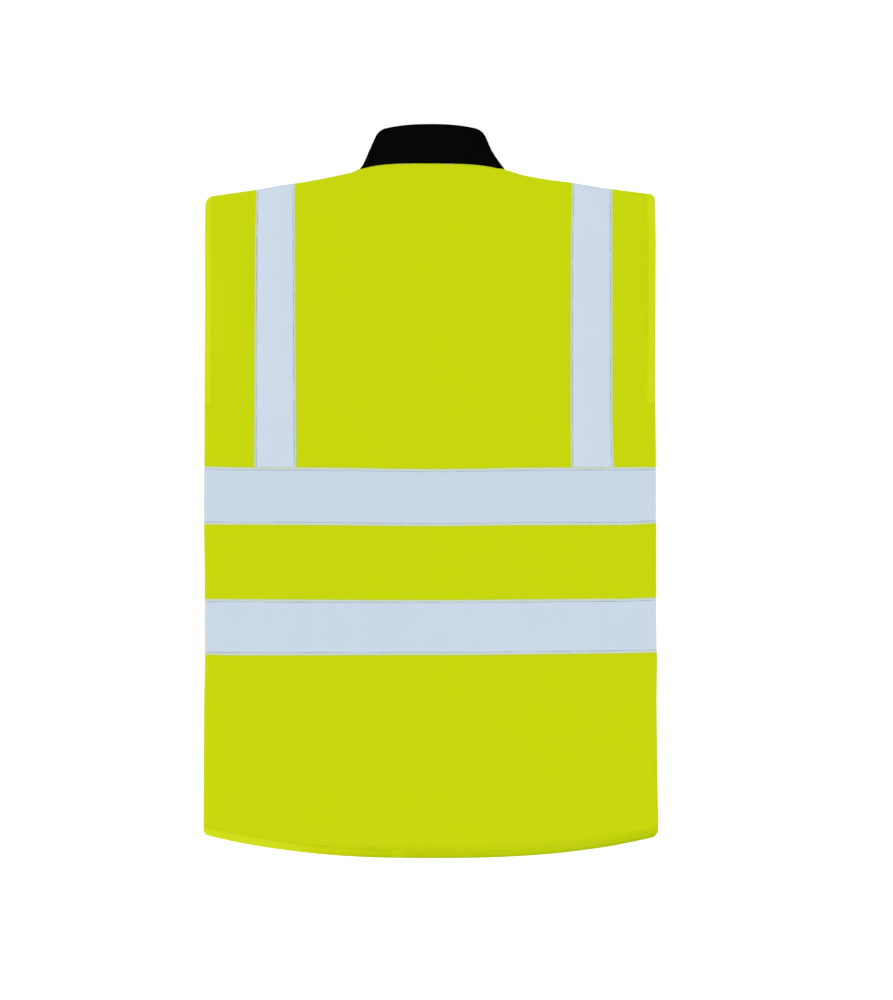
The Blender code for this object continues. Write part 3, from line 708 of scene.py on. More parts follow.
class Look:
    """A procedural material in the making; place is where a point lies on the garment."""

    def __init__(self, name, sockets):
        self.material = bpy.data.materials.new(name)
        self.material.use_nodes = True
        self.nodes = self.material.node_tree.nodes
        self.links = self.material.node_tree.links
        self.inputs = self.nodes["Principled BSDF"].inputs
        for socket, value in sockets.items():
            self.inputs[socket].default_value = value
        self.place = self.add("TexCoord", "Object")
        self.normal = None

    def add(self, kind, output, sockets=None, **settings):
        """A new node with its settings, and its sockets set or linked; gives one output."""
        node = self.nodes.new("ShaderNode" + kind)
        for name, value in settings.items():
            setattr(node, name, value)
        for name, value in (sockets or {}).items():
            if isinstance(value, Field):
                self.links.new(value.socket, node.inputs[name])
            else:
                node.inputs[name].default_value = value
        return Field(self, node.outputs[output])

    def axis(self, name):
        return self.add("SeparateXYZ", name, {"Vector": self.place})

    def wave(self, direction, pitch, wobble, **more):
        """Bands from 0 to 1 along x, y or a diagonal."""
        sockets = {"Vector": self.place, "Scale": WAVE_PERIOD / pitch, "Distortion": wobble, **more}
        return self.add("TexWave", "Fac", sockets, wave_type="BANDS", bands_direction=direction)

    def crossed(self, pitch, wobble):
        """Waves along x times waves along y, from -1 to 1."""
        more = {"Detail": 1.0, "Detail Scale": 40.0 * pitch / WAVE_PERIOD}
        waves = [(self.wave(axis, pitch, wobble, **more) - 0.5) * 2.0 for axis in "XY"]
        return waves[0] * waves[1]

    def noise(self, scale, detail=2.0):
        sockets = {"Vector": self.place, "Scale": scale, "Detail": detail}
        return self.add("TexNoise", "Fac", sockets)

    def mix(self, factor, first, second, blend="MIX"):
        """A mix of two colours, each given as a field or as three channels."""
        colours = [ink if isinstance(ink, Field) else (*ink, 1.0) for ink in (first, second)]
        sockets = dict(zip(MIX_INPUTS, (factor, *colours)))
        return self.add("Mix", MIX_RESULT, sockets, data_type="RGBA", blend_type=blend)

    def tint_along(self, axis, stops):
        """A colour that changes along an axis: stops are (metres, colour)."""
        low, high = stops[0][0], stops[-1][0]
        tint = self.add("ValToRGB", "Color", {"Fac": self.axis(axis).share(low, high)})
        ramp = tint.socket.node.color_ramp
        ramp.interpolation = "EASE"
        while len(ramp.elements) < len(stops):
            ramp.elements.new(0.5)
        for element, (metres, colour) in zip(ramp.elements, stops):
            element.position = (metres - low) / (high - low)
            element.color = (*colour, 1.0)
        return tint

    def paint(self, tone, colour, spread, tint=None):
        """A colour that spreads to both sides by a tone from 0 to 1, and a tint over it, which on
        the hem and the bands holds painted light and shade.
        """
        ends = [[channel * (1 + sign * spread) for channel in colour] for sign in (-1, 1)]
        painted = self.mix(tone, *ends)
        if tint:
            painted = self.mix(1.0, painted, tint(self), "MULTIPLY")
        self.links.new(painted.socket, self.inputs["Base Color"])

    def emboss(self, *reliefs):
        """Bumps over each other, each given by its height, its depth and its strength."""
        for height, distance, strength in reliefs:
            sockets = {"Height": height, "Distance": distance, "Strength": strength}
            if self.normal:
                sockets["Normal"] = self.normal
            self.normal = self.add("Bump", "Normal", sockets)
        self.links.new(self.normal.socket, self.inputs["Normal"])
        return self.material


def hem_painted_light_and_shade(look):
    """Painted light and shade on the hem in uneven stretches, lighter on the left and darker where
    the rolled hem turns away from the light, with painted shade on its rim; it fades inwards from
    the tail's curved edge.
    """
    x = look.axis("X")
    out = abs(x) * (1 / HALF_HEM)
    rise = out.calc("POWER", sum(TAIL_BENDS) / 2) * (sum(TAIL_RISES) / 2)
    from_edge = look.axis("Y") - (TAIL_Y - TAIL_OUT) - rise
    inside = from_edge.share(0.0, HEM_RIM_PAINTED_SHADE[0]).calc("MAXIMUM", x.share(*HEM_RIM_SHADE_X))
    rim = look.mix(inside, HEM_RIM_PAINTED_SHADE[1], WHITE)
    lit_and_shaded = look.mix(1.0, look.tint_along("X", HEM_PAINTED_LIGHT_AND_SHADE), rim, "MULTIPLY")
    panel_tone = [panel / strip for panel, strip in zip(YELLOW, STRIP_YELLOW)]
    return look.mix(from_edge.share(*HEM_PAINTED_SHADE_FADE), lit_and_shaded, panel_tone)


def band_highlights_and_tone(look):
    """Painted highlights at the bands' ends, where the tape rolls over the side seams, and the
    lower band's slightly lighter tone.
    """
    ends = look.tint_along("X", BAND_END_HIGHLIGHTS)
    return look.mix(1.0, ends, look.tint_along("Y", LOWER_BAND_TINTS), "MULTIPLY")


def woven(name, colour, pitch, spread, relief_height, sockets, tint=None):
    """Plain-woven cloth: threads over and under each other, uneven in tone and thickness."""
    look = Look(name, sockets)
    over = look.crossed(2 * pitch, 1.2)
    threads = abs(over)
    patches, fibres, crumples = CLOTH_NOISE
    tone = threads * 0.30 + over * 0.12 + look.noise(patches) * 0.35 + look.noise(fibres) * 0.35
    look.paint(tone, colour, spread, tint)
    return look.emboss((look.noise(crumples, 3.0), 0.0005, 0.35), (threads, relief_height, 0.6))


def beaded(name, colour, sockets, tint=None):
    """Reflective tape: fine glass beads on a silver ground, with a faint backing weave."""
    look = Look(name, sockets)
    cells = {"Vector": look.place, "Scale": BEADS}
    beads = look.add("TexVoronoi", "Distance", cells, feature="F1")
    ground = look.crossed(BACKING, 1.0)
    patches, crumples = TAPE_NOISE
    look.paint(beads * 0.45 + look.noise(patches) * 0.5 + ground * 0.05, colour, 0.03, tint)
    soft = (look.noise(crumples, 3.0), 0.0003, 0.3)
    return look.emboss(soft, (ground, 0.00003, 0.4), (beads, 0.00004, 0.4))


def twisted(name, colour, spread, sockets):
    """Sewing thread: plies that twist round each other, darker here and there."""
    look = Look(name, sockets)
    plies = look.wave("DIAGONAL", PLY, 0.5)
    fibres, patches = THREAD_NOISE
    dark_patches = look.noise(fibres, 1.0) * look.noise(patches, 1.0)
    look.paint(dark_patches * 4.2 + plies * 0.2 - 0.75, colour, spread)
    return look.emboss((plies, 0.00008, 0.6))


def moulded(name, colour, grain, sockets):
    """Moulded plastic or painted metal, with a fine grain."""
    look = Look(name, sockets)
    tone = look.noise(grain, 3.0)
    look.paint(tone, colour, 0.22)
    return look.emboss((tone, 0.00005, 0.3))


def gloss(roughness, level=0.5, tint=WHITE, metallic=0.0):
    """The shader's sockets for how a surface shines."""
    return {
        "Roughness": roughness,
        "Specular IOR Level": level,
        "Specular Tint": (*tint, 1.0),
        "Metallic": metallic,
    }


YELLOW = (0.562, 0.669, 0.0036)
STRIP_YELLOW = (0.615, 0.715, 0.0075)
SILVER = (0.560, 0.648, 0.758)
BRACE_SILVER = (0.584, 0.668, 0.774)
RIM_SILVER = (0.572, 0.667, 0.450)
BLACK = (0.0014, 0.0016, 0.0009)
HI_VIS_TINT = (0.9, 1.0, 0.05)
# Painted light and shade along the hem, by x: lighter on the left, partly the strip's own lighter
# tone and partly painted light, and painted shade towards the right where the rolled hem turns away
# from the light
HEM_PAINTED_LIGHT_AND_SHADE = (
    (-0.2722, (1.02, 1.02, 1.40)),
    (-0.1850, (1.03, 1.02, 1.30)),
    (-0.1250, (0.96, 0.91, 0.26)),
    (-0.0500, (0.82, 0.85, 0.24)),
    (-0.0410, (0.92, 0.93, 0.32)),
    (-0.0300, (0.81, 0.84, 0.26)),
    (0.0600, (0.80, 0.84, 0.28)),
    (0.1500, (0.83, 0.87, 0.32)),
    (0.2722, (0.79, 0.83, 0.22)),
)
HEM_PAINTED_SHADE_FADE = (0.0070, 0.0130)  # from the edge, where that painted light and shade gives way to the panel's own tone
HEM_RIM_PAINTED_SHADE = (0.0045, (0.81, 0.84, 0.80))  # painted shade on its outermost part, where the hem rolls away from the light
HEM_RIM_SHADE_X = (-0.0800, -0.1600)  # and that painted shade ends between these on the left
LOWER_BAND_TINTS = ((-0.1300, (1.009, 1.014, 1.019)), (-0.0420, WHITE))
# Painted highlights at the bands' ends, where the tape rolls over the side seams: x and colour
BAND_END_HIGHLIGHTS = (
    (-0.2722, (1.12, 1.04, 0.97)),
    (-0.2690, (1.03, 1.00, 0.98)),
    (-0.2640, WHITE),
    (0.2620, WHITE),
    (0.2690, (1.08, 1.03, 0.98)),
    (0.2722, (1.36, 1.25, 1.16)),
)

# Cloth takes its thread's width, the spread of its tone and its relief before its gloss
STRIP = (STRIP_YELLOW, 0.00042, 0.05, 0.00008, gloss(0.65, 0.3, HI_VIS_TINT))
YELLOW_CLOTH = (YELLOW, 0.00055, 0.05, 0.00009, gloss(0.75, 0.25, HI_VIS_TINT))
BLACK_CLOTH = (BLACK, 0.00060, 0.35, 0.00012, gloss(0.95, 0.03))
ZIP_CLOTH = ((0.008, 0.008, 0.008), 0.00040, 0.30, 0.00010, gloss(0.85, 0.1))
TAPE_GLOSS = gloss(0.58, 0.2, metallic=0.05)
YELLOW_THREAD = ((0.590, 0.690, 0.006), 0.08, gloss(0.55, 0.3, HI_VIS_TINT))
MATERIALS = {
    "yellow": woven("hi_vis_yellow_cloth", *YELLOW_CLOTH),
    "strip": woven("hi_vis_yellow_strip", *STRIP),
    # The hem strip's colour holds painted light and shade along the hem and on its rim
    "hem": woven("hi_vis_yellow_hem_strip", *STRIP, hem_painted_light_and_shade),
    # The bands' colour holds painted highlights at their ends
    "silver": beaded("reflective_tape", SILVER, TAPE_GLOSS, band_highlights_and_tone),
    "brace_silver": beaded("reflective_tape_braces", BRACE_SILVER, TAPE_GLOSS),
    "silver_rim": beaded("reflective_tape_rim", RIM_SILVER, gloss(0.6, 0.2)),
    "black": woven("black_collar_cloth", *BLACK_CLOTH),
    "zip_cloth": woven("zip_tape_cloth", *ZIP_CLOTH),
    "grey_thread": twisted("grey_thread", (0.330, 0.390, 0.430), 0.5, gloss(0.6)),
    "yellow_thread": twisted("yellow_thread", *YELLOW_THREAD),
    "pale_thread": twisted("pale_thread", (0.640, 0.680, 0.330), 0.3, gloss(0.6)),
    "plastic": moulded("zip_plastic", (0.012, 0.012, 0.012), 900.0, gloss(0.38)),
    "metal": moulded("zip_metal", (0.060, 0.060, 0.062), 1400.0, gloss(0.34, metallic=0.9)),
}

# ---- mesh makers ----


def new_piece(name, points, faces, materials, reverse_faces=(), crisp=40):
    """A closed mesh with its faces outwards; reverse_faces take the second material.

    Edges that bend by more than crisp degrees stay sharp.
    """
    mesh = bpy.data.meshes.new(name)
    mesh.from_pydata(np.asarray(points, float).tolist(), [], faces)
    for key in materials:
        mesh.materials.append(MATERIALS[key])
    if len(reverse_faces):
        indices = np.zeros(len(mesh.polygons), np.int32)
        indices[reverse_faces] = 1
        mesh.polygons.foreach_set("material_index", indices)
    bm = bmesh.new()
    bm.from_mesh(mesh)
    if bm.calc_volume(signed=True) < 0:
        bmesh.ops.reverse_faces(bm, faces=bm.faces[:])
        bm.to_mesh(mesh)
    bm.free()
    mesh.shade_smooth()
    mesh.set_sharp_from_angle(angle=math.radians(crisp))
    return add_object(name, mesh)


def quads(near, far):
    """Four-cornered faces between two grids of points' numbers that lie one step apart."""
    corners = [near[:-1], far[:-1], far[1:], near[1:]]
    return np.stack([corner.ravel() for corner in corners], axis=1)


def grid_faces(rows, columns):
    """Faces of a grid of points, counted along its columns first."""
    index = np.arange(rows * columns).reshape(rows, columns)
    return quads(index[:, :-1], index[:, 1:])


def slab(name, upper, lower, materials, second=None, crisp=40):
    """A closed slab between two grids of points.

    second is a pair of grids that say which upper and lower faces take the second material.
    """
    rows, columns = upper.shape[:2]
    count = rows * columns
    index = np.arange(count).reshape(rows, columns)
    top = grid_faces(rows, columns)
    rim = np.concatenate([index[0, :-1], index[:-1, -1], index[-1, :0:-1], index[:0:-1, 0]])
    after = np.roll(rim, -1)
    wall = np.stack([rim, rim + count, after + count, after], axis=1)
    faces = np.concatenate([top, top[:, ::-1] + count, wall]).tolist()
    points = np.concatenate([upper.reshape(-1, 3), lower.reshape(-1, 3)])
    chosen = []
    if second is not None:
        shape = (rows - 1, columns - 1)
        chosen = [np.broadcast_to(grid, shape).ravel() for grid in second]
        chosen = np.flatnonzero(np.concatenate(chosen)).tolist()
    return new_piece(name, points, faces, materials, chosen, crisp)


def layer_slab(name, layer, x, y, far, near, materials, chosen, crisp=40):
    """A slab with its far face outwards; chosen says which far and near faces differ."""
    faces = [points_at(x, y, far), points_at(x, y, near)]
    if layer == "front":
        faces, chosen = faces[::-1], chosen[::-1]
    return slab(name, *faces, materials, chosen, crisp)


def tubes(name, lofts, material, crisp=40):
    """Closed tubes with the same counts of rings and of corners, as one mesh."""
    lofts = np.asarray(lofts)
    many, rings, around = lofts.shape[:3]
    faces = []
    for first in range(0, many * rings * around, rings * around):
        index = first + np.arange(rings * around).reshape(rings, around)
        faces += quads(index, np.roll(index, -1, axis=1)).tolist()
        faces += [index[0, ::-1].tolist(), index[-1].tolist()]
    return new_piece(name, lofts.reshape(-1, 3), faces, [material], (), crisp)


def dress(piece, nodes=()):
    """Puts a piece on the garment, in the place of the solids that it stands for."""
    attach(piece, "root")
    if nodes:
        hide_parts(*nodes)


# ---- panels ----


def panel_rows():
    rows = [TAIL_Y + step for step in BOUND_DISTANCES]
    rows += [NAPE_Y - step for step in SEWN_DISTANCES]
    rows += [UNDERARM_Y - SEAM_GAP / 2, UNDERARM_Y + SEAM_GAP / 2]
    rows += [line + step for line in BAND_LINES for step in BESIDE_TAPE]
    return filled(rows, PANEL_STEP)


def panel_columns(sides):
    columns = [side * (HALF_HEM - step) for side in sides for step in SEWN_DISTANCES]
    lines = [line for line in BRACE_LINES if np.sign(line) in sides]
    columns += [line + step for line in lines for step in BESIDE_TAPE]
    if len(sides) == 1:
        columns += [sides[0] * (FRONT_EDGE + step) for step in ROLL_DISTANCES]
    return filled(columns, PANEL_STEP)


def panel_places(layer, columns, rows):
    """Places of a panel's points, which stop inside the armhole binding above the underarm."""
    column, row = np.meshgrid(columns, rows)
    inside = HALF_HEM - np.abs(column)
    tucked = np.sign(column) * (HALF_HEM - PANEL_INSET - inside * (1 - PANEL_INSET / ZONE))
    column = np.where((row > UNDERARM_Y) & (inside < ZONE), tucked, column)
    return place(layer, column, row)


def under_tape(x, y):
    """1 where tape covers a panel, from a little inside the tape's edge."""
    covered = np.zeros_like(x, bool)
    for low in (0, 2):
        above = y > band_edge_y(low, x) + TUCK_INSET
        covered |= above & (y < band_edge_y(low + 1, x) - TUCK_INSET)
        right_of = x > brace_edge_x(low, y) + TUCK_INSET
        inside = right_of & (x < brace_edge_x(low + 1, y) - TUCK_INSET)
        covered |= inside & (y > band_edge_y(3, x))
    return covered


def lining_faces(layer, x, y):
    """Which inner faces show the black reverse, and not the outer cloth turned in at a seam."""
    from_side, from_top, _ = edge_distances(layer, x, y)
    from_top = np.where(np.abs(x) > NECK_RUN, from_top, SEAM_TURN)
    black = np.minimum(from_side, from_top) >= SEAM_TURN
    return black[:-1, :-1] & black[:-1, 1:] & black[1:, :-1] & black[1:, 1:]


def make_panel(layer, half, sides):
    x, y = panel_places(layer, panel_columns(sides), panel_rows())
    outer = outward(layer, x, y, -TUCK * under_tape(x, y))
    chosen = (False, lining_faces(layer, x, y))
    name, node = f"{layer}_shell{half}", layer + (half or "_panel")
    materials = ["yellow", "black"]
    panel = layer_slab(name, layer, x, y, outer, inward(layer, x, y), materials, chosen, crisp=60)
    dress(panel, [node])


# ---- bindings ----


BINDING_ENDS = (0.0, 0.0003, 0.0010, 0.0022, 0.0040)
BINDING_SHARES = np.array([1.0, 0.985, 0.93, 0.86, 0.78, 0.66, 0.5, 0.34, 0.18, 0.0])
FOLD_TURNS = np.radians([65, 40, 14, -14, -40, -65])
# How far the fold's inside reaches out from its middle, along the strip and where its end is
# tucked in against the panel, in radii of the fold
FOLD_INSIDE = (0.7, -0.4)


def make_binding(name, node, layer, material, stations, locate, width_at):
    """A strip that is folded round a bound edge.

    locate(distance, station) gives the place at a distance inside the edge.
    """
    walls = np.where(BINDING_SHARES == 1.0, BINDING_WALL / 2, BINDING_WALL)
    rings = []
    for station in stations:
        distance = BINDING_EDGE + BINDING_SHARES * (width_at(station) - BINDING_EDGE)
        x, y = locate(distance, station)
        inside = FOLD_INSIDE[station in (stations[0], stations[-1])]
        sides = []
        for lift, reach in ((BINDING_LIFT + walls, 1.0), (BINDING_LIFT, inside)):
            outer = outward(layer, x, y, lift, True)
            inner = inward(layer, x, y, lift)
            middle, half = (outer[-1] + inner[-1]) / 2, (outer[-1] - inner[-1]) / 2
            fold = locate(BINDING_EDGE * (1 - reach * np.cos(FOLD_TURNS)), station)
            fold = points_at(*fold, middle + half * np.sin(FOLD_TURNS))
            faces = points_at(x, y, outer), fold, points_at(x, y, inner)[::-1]
            sides.append(np.concatenate(faces))
        rings.append(np.concatenate([sides[0], sides[1][::-1]]))
    piece = tubes(name, [rings], material)
    dress(piece, [node])


def make_hem_binding(layer, half, sides):
    def locate(distance, column):
        return place(layer, np.full_like(distance, column), TAIL_Y + distance)

    name, node = f"{layer}_hem_strip{half}", f"hem_binding_{layer}{half}"
    columns = filled(from_ends(*span(sides), BINDING_ENDS), STITCH / 2)
    make_binding(name, node, layer, "hem", columns, locate, hem_width)


def make_armhole_binding(layer, half, side):
    def locate(distance, row):
        return place(layer, side * (HALF_HEM - distance), np.full_like(distance, row))

    name, node = f"{layer}_armhole_strip{half}", f"armhole_binding_{layer}{half}"
    rows = [UNDERARM_Y + SEAM_GAP / 2] + [NAPE_Y - step for step in SEWN_DISTANCES]
    rows = filled(rows, STITCH / 2)
    width = ARMHOLE_BINDINGS[side > 0]
    make_binding(name, node, layer, "strip", rows, locate, lambda row: width)


# ---- reflective tape ----


def rim_faces(stations):
    """Which faces between the stations lie outside the stitching, at both edges."""
    middles = (stations[1:] + stations[:-1]) / 2
    from_edge = np.minimum(middles - stations[0], stations[-1] - middles)
    return from_edge < TAPE_RIM


def make_tape(name, node, layer, columns, rows, brace):
    """Tape along its rows, or along its columns if it is a brace."""
    x, y = place(layer, *np.meshgrid(columns, rows))
    far = outward(layer, x, y, TAPE_LIFT + TAPE, True)
    near = outward(layer, x, y, TAPE_LIFT, True)
    if layer == "front":
        near = np.maximum(near, far + TAPE)
    rim = rim_faces(columns)[None, :] if brace else rim_faces(rows)[:, None]
    materials = ["brace_silver" if brace else "silver", "silver_rim"]
    tape = layer_slab(name, layer, x, y, far, near, materials, (rim, rim))
    dress(tape, [node])
    if brace:
        highest(node).y - lowest(node).y


def band_columns(sides):
    columns = [side * (HALF_HEM - step) for side in sides for step in ROLL_DISTANCES]
    if len(sides) == 1:
        columns += [sides[0] * (FRONT_EDGE + step) for step in ROLL_DISTANCES[1:6]]
    low, high = span(sides)
    low += ROLL_DISTANCES[-1] * (-1 in sides)
    high -= ROLL_DISTANCES[-1] * (1 in sides)
    return np.array(sorted({*columns, *on_stitches(low, high, STITCH / 2, 0.5)}))


def brace_rows():
    low, high = BAND_LINES[3] + SEAM_GAP / 2, NAPE_Y - ROLL_DISTANCES[-1]
    rows = {NAPE_Y - step for step in ROLL_DISTANCES}
    return np.array(sorted({*rows, *on_stitches(low, high, STITCH / 2, 0.5)}))


def tape_stations(lines, number):
    return filled(from_ends(*lines[2 * number : 2 * number + 2], TAPE_DISTANCES), PANEL_STEP)


def make_bands(layer, half, sides):
    for number, level in enumerate(("lower", "upper")):
        name, node = f"{layer}_tape_{level}{half}", f"band_{level}_{layer}{half}"
        rows = tape_stations(BAND_LINES, number)
        make_tape(name, node, layer, band_columns(sides), rows, False)


def make_braces(layer):
    for number, side in enumerate(("left", "right")):
        name, node = f"{layer}_tape_brace_{side}", f"brace_{layer}_{side}"
        columns = tape_stations(BRACE_LINES, number)
        make_tape(name, node, layer, columns, brace_rows(), True)


# ---- stitching ----

THREAD = 0.00024  # radius, and those of the threads in the tape, the bindings and the neck seam
TAPE_THREAD, BINDING_THREAD, NECK_THREAD = 1.2 * THREAD, 0.75 * THREAD, 0.7 * THREAD
THREAD_SIDES = 5
# A stitch's sections: share of its length, radius, and rise from the needle hole in radii
STITCH_SECTIONS = (
    (0.03, 0.65, -0.5),
    (0.20, 0.95, 0.3),
    (0.50, 1.00, 0.55),
    (0.80, 0.95, 0.3),
    (0.97, 0.65, -0.5),
)
TAPE_SEW_END = 0.0012  # lines that hold tape stop this far from a panel's edge
BINDING_SEW_END = 0.0030
NECK_SEW_END = 0.0040
NECK_SEW = 0.0004  # from the neck seam to its stitches, and how proud those stand
NECK_SHOWN = (4, 0.0210, 0.1)  # ripples' seed and length, and how high those are where they show


def thread_tubes(needles, up, radius):
    """A small arched tube between each two needle holes."""
    start, end = needles[:-1], needles[1:]
    run = end - start
    along = run / np.linalg.norm(run, axis=1, keepdims=True)
    lift = np.array([0.0, 0.0, float(up)])
    across = np.cross(along, lift)
    across /= np.linalg.norm(across, axis=1, keepdims=True)
    rings = []
    for share, size, rise in STITCH_SECTIONS:
        centre = start + run * share + lift * rise * radius
        ring = []
        for corner in range(THREAD_SIDES):
            turn = 2 * math.pi * corner / THREAD_SIDES + math.pi / 2
            ring.append(centre + radius * size * (across * math.cos(turn) + lift * math.sin(turn)))
        rings.append(np.stack(ring, axis=1))
    return np.stack(rings, axis=1)


def sewn(layer, column, row, proud):
    x, y = place(layer, *np.broadcast_arrays(column, row))
    return points_at(x, y, outward(layer, x, y, proud, True))


def tape_needles(layer, sides):
    """Needle holes of every line that holds tape on a layer, between the given sides."""
    proud = TAPE_LIFT + TAPE
    columns = on_stitches(*span(sides, TAPE_SEW_END))
    rows = on_stitches(BAND_LINES[3] + TAPE_SEW_END, NAPE_Y - TAPE_SEW_END)
    runs = []
    for number, line in enumerate(BAND_LINES):
        runs.append(sewn(layer, columns, line + inwards(number, BAND_STITCH), proud))
    for number, line in enumerate(BRACE_LINES):
        if np.sign(line) in sides:
            runs.append(sewn(layer, line + inwards(number, BRACE_STITCH), rows, proud))
    return runs


def binding_needles(layer, sides):
    """Needle holes of the lines along the bindings and beside the zip."""
    proud = BINDING_LIFT + BINDING_WALL
    columns = on_stitches(*span(sides, BINDING_SEW_END))
    runs = [sewn(layer, columns, TAIL_Y + hem_width(columns) - BINDING_STITCH, proud)]
    rows = on_stitches(UNDERARM_Y + BINDING_SEW_END, NAPE_Y - BINDING_SEW_END)
    zip_rows = on_stitches(HEM_ZONE_Y, NAPE_Y - 2 * EDGE_ZONE)
    for side in sides:
        column = side * (HALF_HEM - ARMHOLE_BINDINGS[side > 0] + BINDING_STITCH)
        runs.append(sewn(layer, column, rows, proud))
        if layer == "front":
            runs.append(sewn(layer, side * (FRONT_EDGE + ZIP_STITCH), zip_rows, 0.0))
    return runs


def make_neck_stitches():
    """The neck seam's pale stitches, which show here and there below the collar."""
    columns = on_stitches(-NECK_RUN + NECK_SEW_END, NECK_RUN - NECK_SEW_END)
    x, y = place("back", columns, np.full_like(columns, NAPE_Y - NECK_SEW))
    needles = points_at(x, y, outward("back", x, y, NECK_SEW))
    stitches = thread_tubes(needles, 1, NECK_THREAD)
    seed, length, limit = NECK_SHOWN
    shown = ripples(STITCH * np.arange(len(stitches)), seed, length) > limit
    dress(tubes("back_neck_stitches", stitches[shown], "pale_thread"))


def make_stitching(layer, half, sides):
    up = 1 if layer == "back" else -1
    for kind, needles, thread, radius, slot in (
        ("tape", tape_needles, "grey_thread", TAPE_THREAD, "reflective_tape"),
        ("edge", binding_needles, "yellow_thread", BINDING_THREAD, "yellow_binding"),
    ):
        runs = [thread_tubes(run, up, radius) for run in needles(layer, sides)]
        dress(tubes(f"{layer}{half}_{kind}_stitches", np.concatenate(runs), thread))


# ---- collar ----

COLLAR_TALL = COLLAR_TOP_Y - NAPE_Y
COLLAR_EDGE = 0.0026  # how far below its top the collar starts to round over
COLLAR_FOOT = 0.0030  # the wall grows over this height from the foot up
COLLAR_FOOT_START = 0.0004  # and the first of it is cut off
COLLAR_THINS = (0.93, 0.45)  # shares of the wall that go at the top and at the foot
COLLAR_STITCH = (0.0060, 0.0012, 0.00025)  # from the top edge, half width and depth
COLLAR_END = (0.0030, 0.85)  # length over which its front edges thin, and by which share
COLLAR_SWELL = (0.0004, 0.0450)  # height and length of its soft waves, and of its small ones
COLLAR_CRUMPLE = (0.00012, 0.0110)
COLLAR_FRONT_STEPS = 34
COLLAR_BACK_STEPS = 83
COLLAR_FOOT_STEPS = (0, 0.0004, 0.0012, 0.0024, 0.0040)
COLLAR_TOP_STEPS = (0, 0.00015, 0.0004, 0.0008, 0.0014, 0.0026, 0.0045, 0.0052, 0.006, 0.0068)
COLLAR_TOP_STEPS += (0.0076,)


def collar_half(height, side):
    """Half the collar's width, with a flared foot and a rounded top corner."""
    half = COLLAR_SIDE[0] + (COLLAR_SIDE[1] - COLLAR_SIDE[0]) * height
    flaring = clamp(1 - height / by_side(side, COLLAR_FLARE_ENDS)) ** 1.5
    share, cut = COLLAR_CORNER
    turn = cut * clamp((height - 1 + share) / share) ** 2
    return half + by_side(side, COLLAR_FLARES) * flaring - turn


def collar_side_y(height):
    return NECK_POINT_Y + (COLLAR_SHOULDER_Y - NECK_POINT_Y) * height


def collar_back_y(share, height):
    middle = NAPE_Y + COLLAR_TALL * height
    bend = NAPE_BEND + (COLLAR_TOP_BEND - NAPE_BEND) * height
    end = collar_side_y(height) + COLLAR_TOP_RISE * height**2
    return middle + (end - middle) * share**bend


def collar_front_y(share, height):
    middle = THROAT_Y + COLLAR_FRONT_HEIGHT * height
    return middle + (collar_side_y(height) - middle) * share**THROAT_BEND


def collar_wall(height):
    """Half the collar's thickness, which is rounded at the top edge and thin at its foot."""
    top_thins, foot_thins = COLLAR_THINS
    line, reach, depth = COLLAR_STITCH
    from_top = (1 - height) * COLLAR_TALL
    top = roll_share(from_top, COLLAR_EDGE)
    foot = roll_share(height * COLLAR_TALL + COLLAR_FOOT_START, COLLAR_FOOT)
    stitched = np.exp(-(((from_top - line) / reach) ** 2))
    return COLLAR_WALL / 2 * (1 - top_thins * top) * (1 - foot_thins * foot) - depth * stitched


def collar_stations():
    """(part, value, outward direction in x and z) from the left front edge to the right one."""
    shares = np.linspace(FRONT_SHARE, 1, COLLAR_FRONT_STEPS)
    front = [("front", share, 0.0, -1.0) for share in shares]
    turns = [math.radians(degrees) for degrees in range(-75, 90, 15)]
    front += [("fold", 1, math.cos(turn), math.sin(turn)) for turn in turns]
    left = [(part, -share, -x, z) for part, share, x, z in front]
    back = [("back", share, 0.0, 1.0) for share in np.linspace(-1, 1, COLLAR_BACK_STEPS)]
    return left + back + front[::-1]


def collar_ring(station, heights):
    """Outer and inner points of the collar at one station."""
    part, value, out_x, out_z = station
    run = collar_half(heights, value) - FOLD_RADIUS - COLLAR_WALL / 2
    wall = collar_wall(heights)
    if part == "back":
        x, y = value * run, collar_back_y(abs(value), heights)
        y = y + NECK_TILT * x * (1 - value**2) * (1 - heights)
        bulge = np.sin(np.pi * clamp(heights)) ** 0.5
        height, length = COLLAR_SWELL
        z = COLLAR_BACK_Z + height * swell(x, y, 5, length) * bulge
    elif part == "front":
        along = (abs(value) - FRONT_SHARE) / (1 - FRONT_SHARE)
        x = np.sign(value) * (FRONT_EDGE + (run - FRONT_EDGE) * along)
        y, z = collar_front_y(abs(value), heights), COLLAR_FRONT_Z
        length, thins = COLLAR_END
        wall = wall * (1 - thins * roll_share((abs(value) - FRONT_SHARE) * run, length))
    else:
        x = value * run + out_x * FOLD_RADIUS
        y = collar_side_y(heights) + COLLAR_TOP_RISE * heights**2 * max(out_z, 0.0) ** 2
        z = (COLLAR_BACK_Z + COLLAR_FRONT_Z) / 2 + out_z * FOLD_RADIUS
    seed = 3.1 * out_x + 7 * (part == "fold")
    height, length = COLLAR_CRUMPLE
    crumple = height * ripples(COLLAR_TALL * heights, seed, length)
    outer = points_at(x + out_x * (wall + crumple), y, z + out_z * (wall + crumple))
    return outer, points_at(x - out_x * wall, y, z - out_z * wall)


def make_collar():
    heights = [step / COLLAR_TALL for step in COLLAR_FOOT_STEPS]
    heights += [1 - step / COLLAR_TALL for step in COLLAR_TOP_STEPS]
    heights = filled(heights, 0.05)
    rings = [collar_ring(station, heights) for station in collar_stations()]
    outer, inner = [np.stack(side) for side in zip(*rings)]
    collar = slab("collar_band", outer, inner, ["black"], crisp=60)
    dress(collar, ["collar"])


# ---- zip ----

